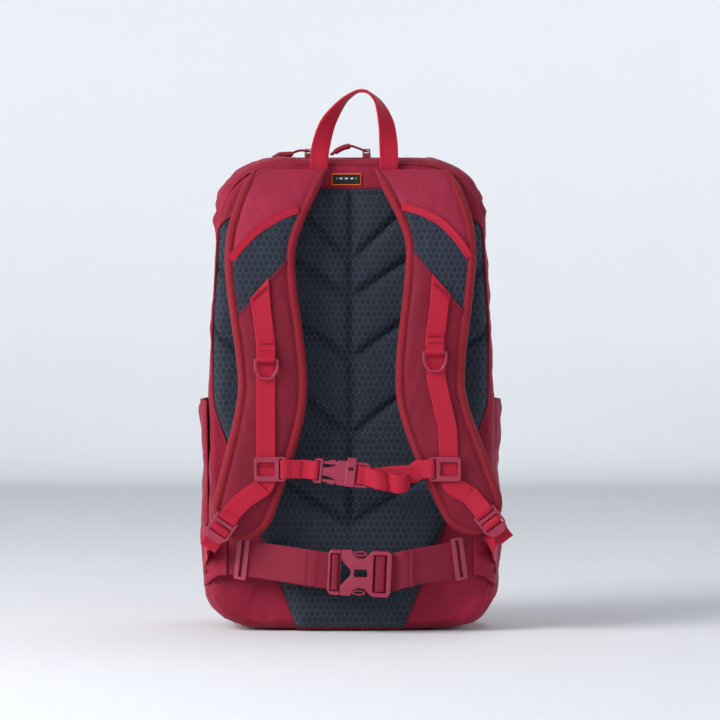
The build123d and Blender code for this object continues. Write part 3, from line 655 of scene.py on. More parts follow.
# Folds: two ends of each, then its width and depth
FOLDS = (
    ((-148, -60, 425), (-120, -40, 470), 7, 3.4), ((-147, -40, 445), (-108, -20, 488), 6, 2.6),
    ((-139, -62, 452), (-132, 0, 430), 9, 2.8), ((146, -62, 430), (112, -52, 482), 6, 3.0),
    ((141, -40, 452), (139, 10, 446), 5, 3.4), ((146, -30, 420), (128, -20, 470), 8, 2.6),
    ((-150, -60, 70), (-110, -62, 18), 8, 3.0), ((-152, -40, 42), (-122, -50, 6), 7, 2.4),
    ((150, -60, 66), (108, -62, 16), 8, 3.0), ((152, -44, 40), (126, -50, 8), 7, 2.6),
    ((-146, -60, 52), (-96, -64, 34), 9, 2.6), ((-138, -60, 34), (-84, -64, 20), 7, 2.2),
    ((147, -60, 48), (104, -64, 30), 9, 2.4), ((138, -60, 30), (92, -64, 22), 6, 1.8),
    ((-90, -60, 14), (-60, -30, 2), 6, 1.6), ((90, -60, 14), (64, -30, 2), 6, 1.6),
    ((-151, -30, 330), (-151, 10, 300), 9, 2.2), ((151, -20, 350), (151, 12, 325), 9, 2.2),
    ((-150, 20, 262), (-150, 70, 285), 9, 2.6), ((150, 20, 262), (150, 70, 285), 9, 2.6),
    ((-110, 92, 300), (-60, 96, 262), 10, 2.4), ((110, 92, 300), (60, 96, 262), 10, 2.4),
    ((-60, 60, 484), (-20, 90, 440), 10, 2.6), ((70, 60, 482), (30, 90, 436), 10, 2.6),
    ((-100, 0, 497), (-60, 10, 500), 6, 2.0), ((80, -20, 499), (110, 0, 494), 6, 2.2),
)


def crumple(p, normal):
    """Moves surface points along their normals: broad sag, fine ripples and the folds."""
    x, y, z = p.T
    push = 1.8 * ripple(p, 120, 3) + 1.2 * ripple(p * [1, 1, 0.55], 42, 5) + 0.42 * ripple(p, 17, 8)
    for a, b, width, depth in FOLDS:
        a, b = np.array(a, float), np.array(b, float)
        t = np.clip(((p - a) @ (b - a)) / ((b - a) @ (b - a)), -0.3, 1.3)
        fade = np.clip(np.minimum(t + 0.3, 1.3 - t) / 0.5, 0, 1)
        d = np.linalg.norm(p - a - t[:, None] * (b - a), axis=1)
        push += depth * fade * (0.8 * bell(d - 1.5 * width, width) - bell(d, 0.75 * width))
    # seams pull the cloth in
    seam = bell(y - ZIP_Y, 9) * (z > COVER_Z - 8)
    push = push * (1 - 0.9 * seam)
    push *= 1 - 0.92 * bell(z - COVER_Z, 10) * (y > 60)
    push *= 1 - 0.85 * bell(z, 6)
    # the pad, the label and the handle need flat ground
    back = np.clip((-58 - y) / 6, 0, 1) * (np.abs(x) < 60 + 0.5 * z) * (z < 462) * (z > 8)
    label = np.exp(-((x + 4) / 32) ** 4 - ((z - 477) / 16) ** 4) * (y < -45)
    push *= 1 - label
    under_handle = (np.abs(x - 3.5) < 62) & (z > 482) & (y < 0)
    push = np.where(under_handle, np.minimum(push, 0) - 0.6, push)
    # the shoulders sink
    push -= 1.2 * np.clip((z - 395) / 50, 0, 1) * np.clip((np.abs(x) - 95) / 30, 0, 1) * (1 - 0.9 * seam)
    return p + normal * (push * (1 - back))[:, None]


normals = np.array([v.normal[:] for v in raw.data.vertices])
raw.data.vertices.foreach_set("co", (crumple(points, normals) * M).ravel())
raw.data.update()


def cut_copy(name, keep_cover):
    """The cover cut from the body, or the body without it."""
    bm = bmesh.new()
    bm.from_mesh(raw.data)
    split_y = ZIP_Y + (0.3 if keep_cover else -0.3)
    split_z = COVER_Z + (0.25 if keep_cover else 0)
    for co, no in (((0, split_y, 0), (0, 1, 0)), ((0, 0, split_z), (0, 0, 1))):
        bmesh.ops.bisect_plane(bm, geom=everything(bm), plane_co=[c * M for c in co], plane_no=no)
    doomed = []
    for face in bm.faces:
        c = face.calc_center_median() / M
        if (c.y > split_y and c.z > COVER_Z) != keep_cover:
            doomed.append(face)
    bmesh.ops.delete(bm, geom=doomed, context="FACES")
    mesh = bpy.data.meshes.new(name)
    bm.to_mesh(mesh)
    bm.free()
    return link(name, mesh)


shell = keep(cut_copy("shell_fabric", False), red_cloth, "root", "pack_fabric", "main_shell")
thicken(shell, 1.8, inside=lining_cloth)
cover = keep(cut_copy("cover_fabric", True), red_cloth, "front_cover", "pack_fabric", "front_cover")
thicken(cover, 1.8, inside=lining_cloth)
bpy.data.objects.remove(raw)


def rim(y, lift, count, low=None):
    """The pack's outline at a depth, moved outward; only above a height if given."""
    side, bottom, top = section(y)
    path = upright(outline(HALF_WIDE - side + lift, bottom - lift, top + lift, count), y)
    if low is None:
        return path
    path = np.vstack([path, path[:1]])
    return path[path[:, 2] > low]


keep(tube("back_piping", rim(-62.5, -0.4, 260), 1.2, closed=True), edge_tape, "root", "pack_fabric")

# ---- quilted back pad

PAD_RIGHT = [(57, 3), (98, 107), (129, 193), (145, 240), (146, 315), (139, 428), (104, 456), (50, 468)]
PAD_RADII = [5, 60, 60, 60, 60, 18, 40, 60]
PAD_COLS = 141
# Height at the middle and slope in degrees of each pair of grooves
CHEVRONS = ((391, 44), (352, 35), (288, 36), (208, 39), (114, 34))


def tucked(z):
    """How far the foot of the pad is drawn in at a height."""
    return 0.042 * np.clip(15 - z, 0, 12) ** 2


pad_corners = [*PAD_RIGHT, *[(-x, z) for x, z in reversed(PAD_RIGHT)]]
pad_path = rounded(pad_corners, PAD_RADII + PAD_RADII[::-1], closed=True)
pad_edge = even(np.vstack([pad_path, pad_path[:1]]), 420)
right_side = pad_path[pad_path[:, 0] > 0]
right_side = right_side[np.argsort(right_side[:, 1])]
pad_z = np.concatenate([np.linspace(3, 24, 18), np.arange(26, 440, 2.0), np.linspace(440, 468, 26)])
pad_half = np.interp(pad_z, right_side[:, 1], right_side[:, 0])
pad_t = np.sin(np.linspace(-math.pi / 2, math.pi / 2, PAD_COLS) * 0.93) / math.sin(math.pi / 2 * 0.93)
pad_x = (pad_half[:, None] * pad_t[None]).ravel()
pad_z = np.repeat(pad_z, PAD_COLS)
inside = nearest(np.stack([pad_x, pad_z], 1), pad_edge)
groove = np.where((pad_z > 112) & (pad_z < 470), np.abs(pad_x - 0.5), 1e9)
for apex, angle in CHEVRONS:
    rise = math.tan(rad(angle))
    bend = 0.00035 * np.abs(pad_x) ** 2
    off = (pad_z - apex - np.abs(pad_x) * rise + bend) * math.cos(rad(angle))
    groove = np.minimum(groove, np.abs(off))
height = 13.2 * (1 - np.exp(-(inside / 5.0) ** 1.1)) + 1.8 * (1 - np.exp(-(inside / 30)))
height -= 6.4 * np.exp(-(groove / 3.2) ** 1.5) + 3.4 * np.exp(-(groove / 12.0))
p3 = np.column_stack([pad_x, np.zeros(len(pad_x)), pad_z])
height += (0.55 * ripple(p3, 60, 21) + 0.22 * ripple(p3, 18, 22)) * np.clip(inside / 10, 0, 1)
height = np.maximum(height, 1.8)
pad_grid = np.column_stack([pad_x, BACK_Y + 0.5 - height + tucked(pad_z), pad_z])
pad = fix_normals(sheet_mesh("pad_quilt", pad_grid.reshape(-1, PAD_COLS, 3)))
thicken(pad, 1.2)
keep(pad, grey_mesh, "root", "air_mesh", "back_pad")

pad_rim = upright(pad_edge[:-1], BACK_Y - 1.0 + tucked(pad_edge[:-1, 1]))
keep(tube("pad_binding", pad_rim, 1.3, closed=True), edge_tape, "root", "binding")

# ---- shoulder straps

# The straps' middle surface seen from the side, as depth and height
BAND = rounded([(-72, 492), (-96, 462), (-112, 400), (-113, 330), (-110, 140),
                (-98, 92)], [60, 200, 600, 100])
BAND = np.vstack([[(-68, 497)], BAND, [(-94, 76)]])
band_z, band_mid = BAND[::-1, 1], BAND[::-1, 0]
CENTRES = {"left": [(-55, 507), (-57, 500), (-85, 440), (-95, 388), (-83, 292), (-82, 243), (-98, 178),
                    (-121, 103)],
           "right": [(55, 507), (57, 500), (85, 445), (95, 396), (84, 292), (86, 240), (112, 170),
                     (139, 110)]}
HALVES = [37, 37, 36.5, 36, 35.5, 35.5, 34, 31]


def band_slope(z):
    return (np.interp(z + 4, band_z, band_mid) - np.interp(z - 4, band_z, band_mid)) / 8


def on_band(x, z, out):
    """Points on the straps' bent middle surface, moved outward."""
    x, z, out = np.broadcast_arrays(np.asarray(x, float), np.asarray(z, float), np.asarray(out, float))
    y = np.interp(z, band_z, band_mid)
    slope = band_slope(z)
    n = 1 / np.sqrt(1 + slope ** 2)
    return np.stack([x, y - out * n, z + out * n * slope], -1)


def band_normal(z):
    slope = band_slope(z)
    return unit(np.stack([np.zeros_like(slope), -np.ones_like(slope), slope], -1))


def strap_y(z):
    """Depth of the middle surface between heights 140 and 330."""
    return -110 - 3 * (z - 140) / 190


def crosswise(ahead):
    """Directions across a front-view path."""
    return np.stack([ahead[:, 1], np.zeros(len(ahead)), -ahead[:, 0]], 1)


def clip_line(bm, a, b):
    """Cuts a mesh along the upright plane through two front-view points, keeping both sides."""
    a, b = np.array(a, float), np.array(b, float)
    way = b - a
    place = (a[0] * M, 0, a[1] * M)
    bmesh.ops.bisect_plane(bm, geom=everything(bm), plane_co=place, plane_no=(-way[1], 0, way[0]))


def level_top(bm, z):
    """Cuts a mesh off level at a height and closes it."""
    cut = bmesh.ops.bisect_plane(bm, geom=everything(bm), plane_co=(0, 0, z * M), plane_no=(0, 0, 1),
                                 clear_outer=True)["geom_cut"]
    bmesh.ops.holes_fill(bm, edges=[e for e in cut if isinstance(e, bmesh.types.BMEdge)], sides=0)


def within(corners, x, z):
    """True where a front-view point is inside a convex polygon."""
    signs = []
    for (ax, az), (bx, bz) in zip(corners, corners[1:] + corners[:1]):
        signs.append((bx - ax) * (z - az) - (bz - az) * (x - ax))
    return all(s >= 0 for s in signs) or all(s <= 0 for s in signs)


# Honeycomb inset of each strap and the edge of its upper panel, in the front view
INSETS = {"left": [(-126, 389), (-97, 418.5), (-52, 445), (-56, 402), (-126, 322)],
          "right": [(126, 391), (95, 427), (52, 448), (56, 410), (126, 327)]}
# Length of the round toe, height of the straps' cut tops, and how far in the rolled edge runs
TOE, TOP_CUT, EDGE_IN = 31, 487.0, 4.5
# Material slots of a strap
UPPER, LOWER, INSET, LINING = range(4)
strap_shape = {}


def crown_height(from_edge, t):
    """Height of a strap's padded face above its middle surface."""
    return 3.6 + 3.6 * (1 - np.exp(-from_edge / 7.0)) + 0.9 * (1 - t ** 2)


def strap_padding(name, side, mid, h, across):
    t = np.sin(np.linspace(-math.pi / 2, math.pi / 2, 41))
    reach = np.maximum(h - 3.0, 0.3)
    x = mid[:, :1] + across[:, :1] * t * reach[:, None]
    z = mid[:, 1:] + across[:, 1:] * t * reach[:, None]
    from_edge = (1 - np.abs(t))[None] * reach[:, None]
    crown = crown_height(from_edge, t[None])
    # seam beside the rolled edge
    crown -= 0.9 * bell(from_edge - 5.5, 1.6)
    p3 = np.stack([x, np.zeros_like(x), z], -1).reshape(-1, 3)
    wrinkle = 0.42 * ripple(p3 * [1.6, 1, 1], 26, 31 + side) + 0.5 * ripple(p3, 70, 33 + side)
    crown += wrinkle.reshape(x.shape) * np.clip(from_edge / 8, 0, 1)
    crown = np.where(z > 458, crown * np.clip((500 - z) / 42, 0.25, 1), crown)
    outer = on_band(x, z, crown)
    inner = on_band(x, z, -(3.2 + 1.6 * (1 - np.exp(-from_edge / 6.0))))
    ring = np.concatenate([outer, inner[:, ::-1]], 1)
    body = stack_mesh(f"strap_{name}_padding", ring, caps(*ring.shape[:2]))
    corners = INSETS[name]
    top_x, top_z = zip(*sorted((side * x, z) for x, z in corners[:3]))

    def panels(bm):
        level_top(bm, TOP_CUT)
        for a, b in zip(corners, corners[1:] + corners[:1]):
            clip_line(bm, a, b)
        for face in bm.faces:
            c = face.calc_center_median() / M
            if c.y > float(np.interp(c.z, band_z, band_mid)) + 1.0:
                face.material_index = LINING
            elif within(corners, c.x, c.z):
                face.material_index = INSET
            else:
                face.material_index = UPPER if c.z > np.interp(side * c.x, top_x, top_z) else LOWER

    rework(body, panels)
    # the upper panel takes the copy of the strap cloth painted with light, the lower panel the copy painted
    # with shade
    for mat in (upper_painted_lit, lower_painted_shade, grey_mesh):
        body.data.materials.append(mat)
    nodes = [f"strap_{part}_{name}" for part in ("foam", "cover", "lining")]
    keep(body, mesh_lining, "harness", "foam", *nodes)


def strap_edge(name, mid, h, across):
    """The rolled edge and the seam beside it."""
    full = h > EDGE_IN + 0.2
    rails = [mid[full] + across[full] * (way * (h[full] - EDGE_IN))[:, None] for way in (-1, 1)]
    loop = eased(even(np.vstack([rails[0], rails[1][::-1]]), 330), 3)
    ahead = unit(np.gradient(loop, axis=0))
    slim = np.clip((498 - loop[:, 1]) / 32, 0.42, 1)
    edge = sweep(f"strap_{name}_edge", on_band(*loop.T, 0.6), crosswise(ahead),
                 round_ring(5.2, 5.5, 20)[None] * slim[:, None, None])
    rework(edge, lambda bm: level_top(bm, TOP_CUT + 0.3))
    keep(edge, edge_tape, "harness", "binding", f"strap_binding_{name}")
    d = np.stack([ahead[:, 1], -ahead[:, 0]], 1)
    middle = np.array([mid[np.argmin(np.sum((mid - q) ** 2, 1))] for q in loop])
    line = loop + d * np.sign(np.sum((middle - loop) * d, 1))[:, None] * 4.1
    line = line[line[:, 1] < TOP_CUT - 1]
    sew("harness", on_band(*line.T, 5.1), band_normal(line[:, 1]), pitch=3.1)


for name, side in SIDES.items():
    centre = eased(catmull(CENTRES[name], 24), 40)
    half = catmull([(h, 0) for h in HALVES], 24)[:, 0]
    along = lengths(centre)
    straight = along[-1] - TOE
    # rows crowd together towards the round toe
    round_rows = straight + TOE * np.sin(np.linspace(0, math.pi / 2, 22))[1:]
    s = np.concatenate([np.linspace(0, straight, 165), round_rows])
    mid = sample(centre, along, s)
    toe = np.clip((s - straight) / TOE, 0, 1)
    h = np.interp(s, along, half) * np.sqrt(np.maximum(1 - toe ** 2, 0.0004))
    way = unit(np.gradient(mid, axis=0))
    across = np.stack([-way[:, 1], way[:, 0]], 1)
    across *= np.sign(across[0, 0])
    strap_shape[name] = (mid, h, across)
    strap_padding(name, side, mid, h, across)
    strap_edge(name, mid, h, across)


def strap_out(name, x, z):
    """Height of a strap's padded face above its middle surface at a front-view point."""
    mid, h, across = strap_shape[name]
    i = int(np.argmin(np.sum((mid - [x, z]) ** 2, 1)))
    off = abs((np.array([x, z]) - mid[i]) @ across[i])
    return crown_height(max(h[i] - 3.0 - off, 0), min(off / max(h[i], 1), 1))


# trim tape over the joint between panels, slightly bowed, and a folded seam below the inset
TRIMS = {"left": [(-127, 387), (-120, 397.4), (-109, 409.5), (-97.3, 420.2), (-82, 430.5), (-66.7, 438),
                  (-54, 443)],
         "right": [(127, 390), (121.5, 399), (109, 415), (94.4, 429), (82, 436.3), (69.8, 441.3), (54, 446)]}
def strip(name, kind, line, width, mat, lift, slot):
    """A narrow strip across a strap, as far as the rolled edges; gives its path and ways across."""
    mid, h, _ = strap_shape[name]
    flat = [q for q in catmull(line, 10)
            if min(np.linalg.norm(mid - q, axis=1)) < np.interp(q[1], mid[::-1, 1], h[::-1]) - 5.5]
    flat = np.array(flat)
    outs = np.array([strap_out(name, *q) for q in flat])
    path = on_band(*flat.T, outs + lift)
    across = crosswise(unit(np.gradient(flat, axis=0)))
    piece = sweep(f"strap_{name}_{kind}", path, across, band_ring(width, 1.3))
    keep(piece, mat, "harness", slot)
    return path, across, band_normal(flat[:, 1])


for name, line in TRIMS.items():
    path, across, out = strip(name, "trim", line, 8.4, tape, 0.7, "webbing")
    for off in (-2.9, 2.9):
        sew("harness", path + across * off + out * 0.75, out, pitch=2.8)
    inner, outer = INSETS[name][3:]
    middle = tuple(np.mean([outer, inner], 0))
    # the folded seam below the inset uses the lower panel's copy of the strap cloth, which is painted shade
    strip(name, "fold", [outer, middle, inner], 2.6, lower_painted_shade, -0.1, "pack_fabric")

# webbing down each strap, to the ladder locks
STRAP_WIDE, CHEST_WIDE, BELT_WIDE, LOWER_WIDE = 20, 19.2, 38, 18.6
WEB_ROUTE = {"left": ([(-95, 362), (-88, 304), (-88, 157), (-112, 142), (-127.6, 122.2)], [60, 12, 40]),
             "right": ([(95, 366), (88, 306), (89.5, 268), (101.5, 216), (103.5, 158), (128, 145),
                        (139.1, 128.9)],
                       [80, 60, 60, 14, 30])}
LOCKS = {"left": leaning((-134, -117.5, 113), 34.5), "right": leaning((146, -119.5, 120), -37.8)}
LOCK_WRAP = ((20, 1.2), (15, 2.5), (11.2, 2.9), (8.3, 1.4), (8.2, -1.4), (11.2, -2.9), (15, -2.6), (22, -2.0))
for name, (route, radii) in WEB_ROUTE.items():
    lock = LOCKS[name]
    flat = even(rounded(route[:-1] + [lock.at(0, 26)[[0, 2]]], radii), 90)
    ahead = unit(np.gradient(flat, axis=0))
    across = crosswise(ahead)
    path = np.vstack([on_band(*flat.T, 9.6)[:-3], [lock.at(0, v, w) for v, w in LOCK_WRAP]])
    turned = lock.x * (1 if across[-4] @ lock.x > 0 else -1)
    whole = catmull(np.hstack([path, np.vstack([across[:-3], [turned] * len(LOCK_WRAP)])]), 4)
    web = sweep(f"strap_{name}_tape", whole[:, :3], unit(whole[:, 3:]), band_ring(STRAP_WIDE, 1.7))
    # the sewn end is cut on a slant
    slant = 1.05 if name == "left" else -1.05
    top_x, top_z = flat[0]
    for v in web.data.vertices:
        v.co.z += slant * (v.co.x - top_x * M) * min(max((v.co.z / M - top_z + 20) / 20, 0), 1)
    keep(web, tape, "harness", "webbing", f"strap_webbing_{name}")
    x, z = flat[1]
    n = band_normal(z)
    lean = unit(np.array([1, 0, slant * 0.85]))
    tack("harness", on_band(x, z - 3.5, 10.6), lean, unit(np.cross(lean, n)), n, 22, 3)
    for k in (-22, -14):
        (x, z), (dx, dz) = flat[k], ahead[k]
        n = band_normal(z)
        tack("harness", on_band(x, z, 10.5), np.array([dz, 0, -dx]), np.array([dx, 0, dz]), n, 17, 2.4)

# D-ring tabs, each folded round its ring
for name, (rx, rz) in {"left": (-87.5, 288), "right": (88, 296)}.items():
    base = strap_y(rz) - 11.6
    ry = base - 2.6
    side_path = [(base - 0.2, rz + 19), (base - 0.4, rz + 12), (base - 1.4, rz + 6), (ry - 2.2, rz + 2.4),
                 (ry - 2.6, rz), (ry - 1.2, rz - 2.3), (ry + 1.2, rz - 2.2), (ry + 2.3, rz),
                 (ry + 1.6, rz + 4), (base + 0.4, rz + 8), (base + 0.6, rz + 19)]
    tab = strap(f"ring_tab_{name}", [(rx, y, z) for y, z in side_path], (1, 0, 0), 19, 1.3, 6)
    keep(tab, tape, "harness", "webbing", f"d_ring_loop_{name}")
    for off in (16.5, 9.5):
        tack("harness", (rx, base - 1.25, rz + off), (1, 0, 0), (0, 0, 1), (0, -1, 0), 16, 1.6)

# ---- handle and label

# Across, height and the tape's turn in degrees
HANDLE = ((-33, 486, 0), (-33, 494, 0), (-31.5, 510, 8), (-24, 535, 34), (-9, 557, 66), (4, 567.5, 84),
          (12, 569.6, 90), (20, 567, 86), (30, 556, 66), (37.5, 535, 34), (40, 512, 8), (40.5, 495, 0),
          (40.5, 487, 0))
HANDLE_Y, HANDLE_WIDE, HANDLE_THICK = -70.5, 19.5, 2.6
path = [(x, HANDLE_Y, z) for x, z, turn in HANDLE]
ways = [(math.cos(rad(turn)), math.sin(rad(turn)), 0) for x, z, turn in HANDLE]
handle = strap("handle_tape", path, ways, HANDLE_WIDE, HANDLE_THICK, 12)
keep(handle, tape, "grab_handle", "webbing", "grab_handle")
both = catmull(np.hstack([path, ways]), 12)
path, across = both[:, :3], unit(both[:, 3:])
out = unit(np.cross(across, unit(np.gradient(path, axis=0))))
out *= np.where(out[:, 1:2] > 0, -1, 1)
for off in (-7.2, 7.2):
    sew("grab_handle", path + across * off + out * 1.45, out, pitch=3.2)

LABEL_X, LABEL_Z, LABEL_HALF, LABEL_TALL = 4.3, 476.7, 15.7, 6.3
grid = [[(x, -67.9 - 0.35 * math.sin((x + 20) * 0.2), z) for x in np.linspace(-20, 11.4, 22)]
        for z in np.linspace(470.4, 483, 12)]
label = sheet_mesh("label_cloth", grid)
net = Net("label_weave", 0.75, 0.1)
x_mm, z_mm = (net.times(net.dot(net.point, way), 1 / M) for way in ((1, 0, 0), (0, 0, 1)))
from_mid = net.size(net.plus(x_mm, LABEL_X))
edge_x = net.minus(LABEL_HALF, from_mid)
edge_z = net.minus(LABEL_TALL, net.size(net.minus(z_mm, LABEL_Z)))
border = net.step(net.math("MINIMUM", edge_x, edge_z), 1.0, 1.25)
# a row of plain dashes stands where the name would be
dash = net.math("GREATER_THAN", net.math("SINE", net.times(x_mm, 1.1)), -0.2)
bar = net.math("LESS_THAN", net.size(net.minus(z_mm, 477.6)), 0.75)
reach = net.math("LESS_THAN", from_mid, 10.5)
field = net.mix(net.times(net.times(bar, reach), dash), (0.012, 0.012, 0.014), (0.55, 0.55, 0.52))
net.put("Base Color", net.mix(border, (0.72, 0.13, 0.008), field))
net.put("Normal", net.bump(net.weave(0.5), 0.00008, 0.9))
thicken(label, 0.6)
keep(label, net.mat, "root", "label", "label_patch")

# ---- moulded and metal fittings

def soften(name, mat, voxel):
    """A hard CAD part keeps its shape; its edges are rounded as a moulding's are."""
    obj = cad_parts[name]
    obj.data.materials.clear()
    obj.data.materials.append(mat)
    if voxel:
        remesh = obj.modifiers.new("skin", "REMESH")
        remesh.mode = "VOXEL"
        remesh.voxel_size = voxel * M
        remesh.use_smooth_shade = True
        ease = obj.modifiers.new("ease", "SMOOTH")
        ease.factor = 0.5
        ease.iterations = 4


for mat, voxel, names in (
    (crimson_plastic, 0.42, "hip_buckle_male hip_buckle_female hip_prong_upper hip_prong_lower"),
    (crimson_plastic, 0.34, "sternum_buckle_male sternum_buckle_female sternum_prong_upper"
                            " sternum_prong_lower sternum_slider_left sternum_slider_right"
                            " ladder_lock_left ladder_lock_right d_ring_left d_ring_right"
                            " hip_keeper_left hip_keeper_right"),
    (enamel, 0.22, "main_slider_left main_slider_right pocket_slider"),
    (moulded("stiffener", (0.06, 0.06, 0.065), 0.6, 0.0), None, "frame_sheet"),
):
    for name in names.split():
        soften(name, mat, voxel)


# ---- sternum strap

ste = leaning((-4.7, -123.4, 169.5), 6)
band_out = (0, -190, -3)
SLIDE_Z = 174
SLIDES = {"left": Flat((-88, strap_y(SLIDE_Z) - 10, SLIDE_Z), (1, 0, 0), band_out),
          "right": Flat((103, strap_y(SLIDE_Z) - 10, SLIDE_Z), (-1, 0, 0), band_out)}
# Tape round a slider's bar and round each buckle half's bar: along the strap, outward
BAR_WRAP = ((34, 0.9), (28, 0.8), (22.8, 0.4), (19.5, 0.25), (16.6, 0.7), (15.6, 2.6), (16.5, 4.5),
            (19.5, 5.0), (22.8, 4.5), (27, 3.0), (32, 2.2))
MALE_WRAP = ((-43, -2.2), (-38, -2.6), (-34, -2.7), (-31, -2.5), (-29.2, -1.4), (-28.9, 0), (-29.2, 1.5),
             (-31, 2.6), (-34, 2.5), (-37.5, 0.9), (-42, -0.3), (-48, -0.5))
FEMALE_WRAP = ((36, -2.2), (30, -2.7), (23, -2.7), (20.6, -1.5), (19.9, 0), (19.4, 1.5), (17.8, 2.6),
               (15.6, 2.8), (13.6, 2.6), (11.8, 1.4), (11.3, 0), (11.8, -1.6), (14, -2.9), (18, -4.2),
               (26, -4.6), (34, -4.2))
BETWEEN = [(66.0, -122.5, 169.5), (52.0, -121.8, 168.0), (42.0, -121.2, 167.4)]
for name, between, end in (("left", [], MALE_WRAP), ("right", BETWEEN, FEMALE_WRAP)):
    path = [SLIDES[name].at(u, 0, w) for u, w in BAR_WRAP] + between + [ste.at(u, 0, w) for u, w in end]
    ways = [(0, 0, 1)] * (len(path) - len(end)) + [tuple(ste.y)] * len(end)
    web = strap(f"chest_tape_{name}", path, ways, CHEST_WIDE, 1.5, 6)
    if name == "left":
        keep(web, tape, "sternum", "webbing", "sternum_web_left")
        tack("sternum", ste.at(-47, 0, 0.6), tuple(ste.y), tuple(ste.x), (0, -1, 0), 16, 1.6)
    else:
        blended(web, tape, (0.030, -0.122, 0.167),
                "sternum_web_right")

tail = [ste.at(15.0, 0, 4.1), ste.at(19, 0, 3.9), (18.6, -128.4, 166.0), (23.5, -131.2, 164.5),
        (30, -132.4, 162.5), (36.5, -130.6, 161.0), (39.5, -128.4, 160.6), (43.5, -130.8, 159.8),
        (50, -132.2, 158.2), (56.5, -131.0, 160.0), (60.5, -127.6, 163.5), (61.5, -125.4, 166.0)]
tail_ways = [tuple(ste.y)] * 2 + [(0.03, 0, 1), (0.05, 0, 1), (0.0, 0.1, 1), (-0.1, 0.1, 1), (-0.1, 0, 1),
                                  (0, -0.1, 1), (0.1, -0.15, 1), (0.25, -0.1, 1), (0.3, 0, 1), (0.3, 0, 1)]
web = strap("chest_tape_tail", tail, tail_ways, 19.0, 1.5, 8)
keep(web, tape, "sternum_female", "webbing", "sternum_web_tail")
tack("sternum_female", (60.5, -131.3, 160.8), (0.2, 0, 1), (1, 0, 0.3), (0, -1, 0), 16, 1.6)

# ---- hip belt

hip = Flat((9.5, -113.5, 65), (math.cos(rad(2.5)), 0, -math.sin(rad(2.5))), (0, -1, 0))
# Belt tape from the wing to the buckle, then its turn round the buckle's bar: along the belt, outward
BELT = {"left": [(-144, -73, 81.5), (-139, -76.5, 81), (-131, -80.6, 80.5), (-122, -84.6, 79.8),
                 (-98, -93.4, 77.2), (-74, -101.6, 74.4), (-56, -108.0, 71.9)],
        "right": [(144, -73, 81.5), (139, -76.5, 81), (131, -80.6, 80.4), (122, -84.8, 79.6),
                  (104, -92.4, 76.6), (86, -99.6, 73.6), (68, -106.4, 71.2)]}
BELT_WRAP = {"left": ((-50, -2.4), (-42, -3.1), (-34.5, -3.1), (-31.2, -2.6), (-29.6, -1.2), (-29.2, 0.6),
                      (-28.6, 2.4), (-27.2, 3.3), (-24.6, 3.3), (-22.9, 2.5), (-22.0, 0.8), (-22.1, -1.4),
                      (-23.5, -3.1), (-28, -4.6), (-36, -5.0), (-48, -4.4), (-58, -2.4)),
             "right": ((48, -2.4), (36, -2.9), (29.5, -2.7), (27.3, -1.2), (26.7, 0.8), (25.6, 2.7),
                       (23.4, 3.3), (18.8, 3.3), (16.7, 2.5), (15.5, 0.8), (15.5, -1.4), (17, -3.2),
                       (22, -4.5), (32, -5.0), (46, -4.6), (56, -3.4))}
# How far the tape rises away from the buckle, over what length, and how fast
BELT_RISE = {"left": (2.6, 23, 1), "right": (6.5, 21, 1.3)}
for name, route in BELT.items():
    rise, span, power = BELT_RISE[name]
    for u, w in BELT_WRAP[name]:
        route.append(hip.at(u, rise * min(max((abs(u) - 27) / span, 0), 1) ** power, w))
    ends = len(BELT_WRAP[name])
    ways = [(0, 0, 1)] * (len(route) - ends) + [tuple(hip.y)] * ends
    web = strap(f"belt_tape_{name}", route, ways, BELT_WIDE, 1.7, 6)
    if name == "left":
        keep(web, belt_tape, "hip_belt", "belt_webbing", "hip_web_left")
    else:
        blended(web, belt_tape, (0.046, -0.112, 0.066),
                "hip_web_right")

# gathered wings that carry the belt from the sides of the pack: across, depth, height, tallness
WING = [(152.4, -46, 80, 66), (151.2, -58, 80, 62), (147.6, -67.4, 79.5, 55), (142.6, -74.2, 79.5, 46),
        (136.5, -79.2, 80, 40), (129.0, -83.4, 80, 39)]
for name, side in SIDES.items():
    rows = []
    cols = np.linspace(-1, 1, 33)
    for k, (x, y, z, tall) in enumerate(catmull(WING, 8)):
        t = k / 40
        pleat = 1.3 * (1 - abs(2 * t - 1.1)) * np.cos(cols * 7.5 + 0.6 * side + t * 2)
        pleat = pleat + 0.8 * np.sin(cols * 17 + t * 5) * max(0, 1 - t * 0.8) + 1.2
        nx, ny = (0.95, -0.3) if t < 0.35 else (0.62, -0.78)
        rows.append(np.column_stack([side * (x + nx * pleat), y + ny * pleat,
                                     z + cols * tall / 2 + 2.0 * (1 - cols ** 2) * side]))
    rows = np.array(rows)
    wing = fix_normals(sheet_mesh(f"belt_wing_{name}", rows))
    thicken(wing, 1.9, 0.0)
    finer = wing.modifiers.new("finer", "SUBSURF")
    finer.levels = finer.render_levels = 1
    keep(wing, red_cloth, "root", "pack_fabric", f"hip_wing_{name}")
    for row in (-8, -11):
        sew("root", rows[row] + [side * 0.7, -1.3, 0], (side * 0.5, -0.85, 0), pitch=2.8)
    for col, lift in ((2, 0.6), (-3, -0.6)):
        sew("root", rows[:, col] + [side * 0.7, -1.0, lift], (side * 0.6, -0.8, 0))

# ---- lower webs

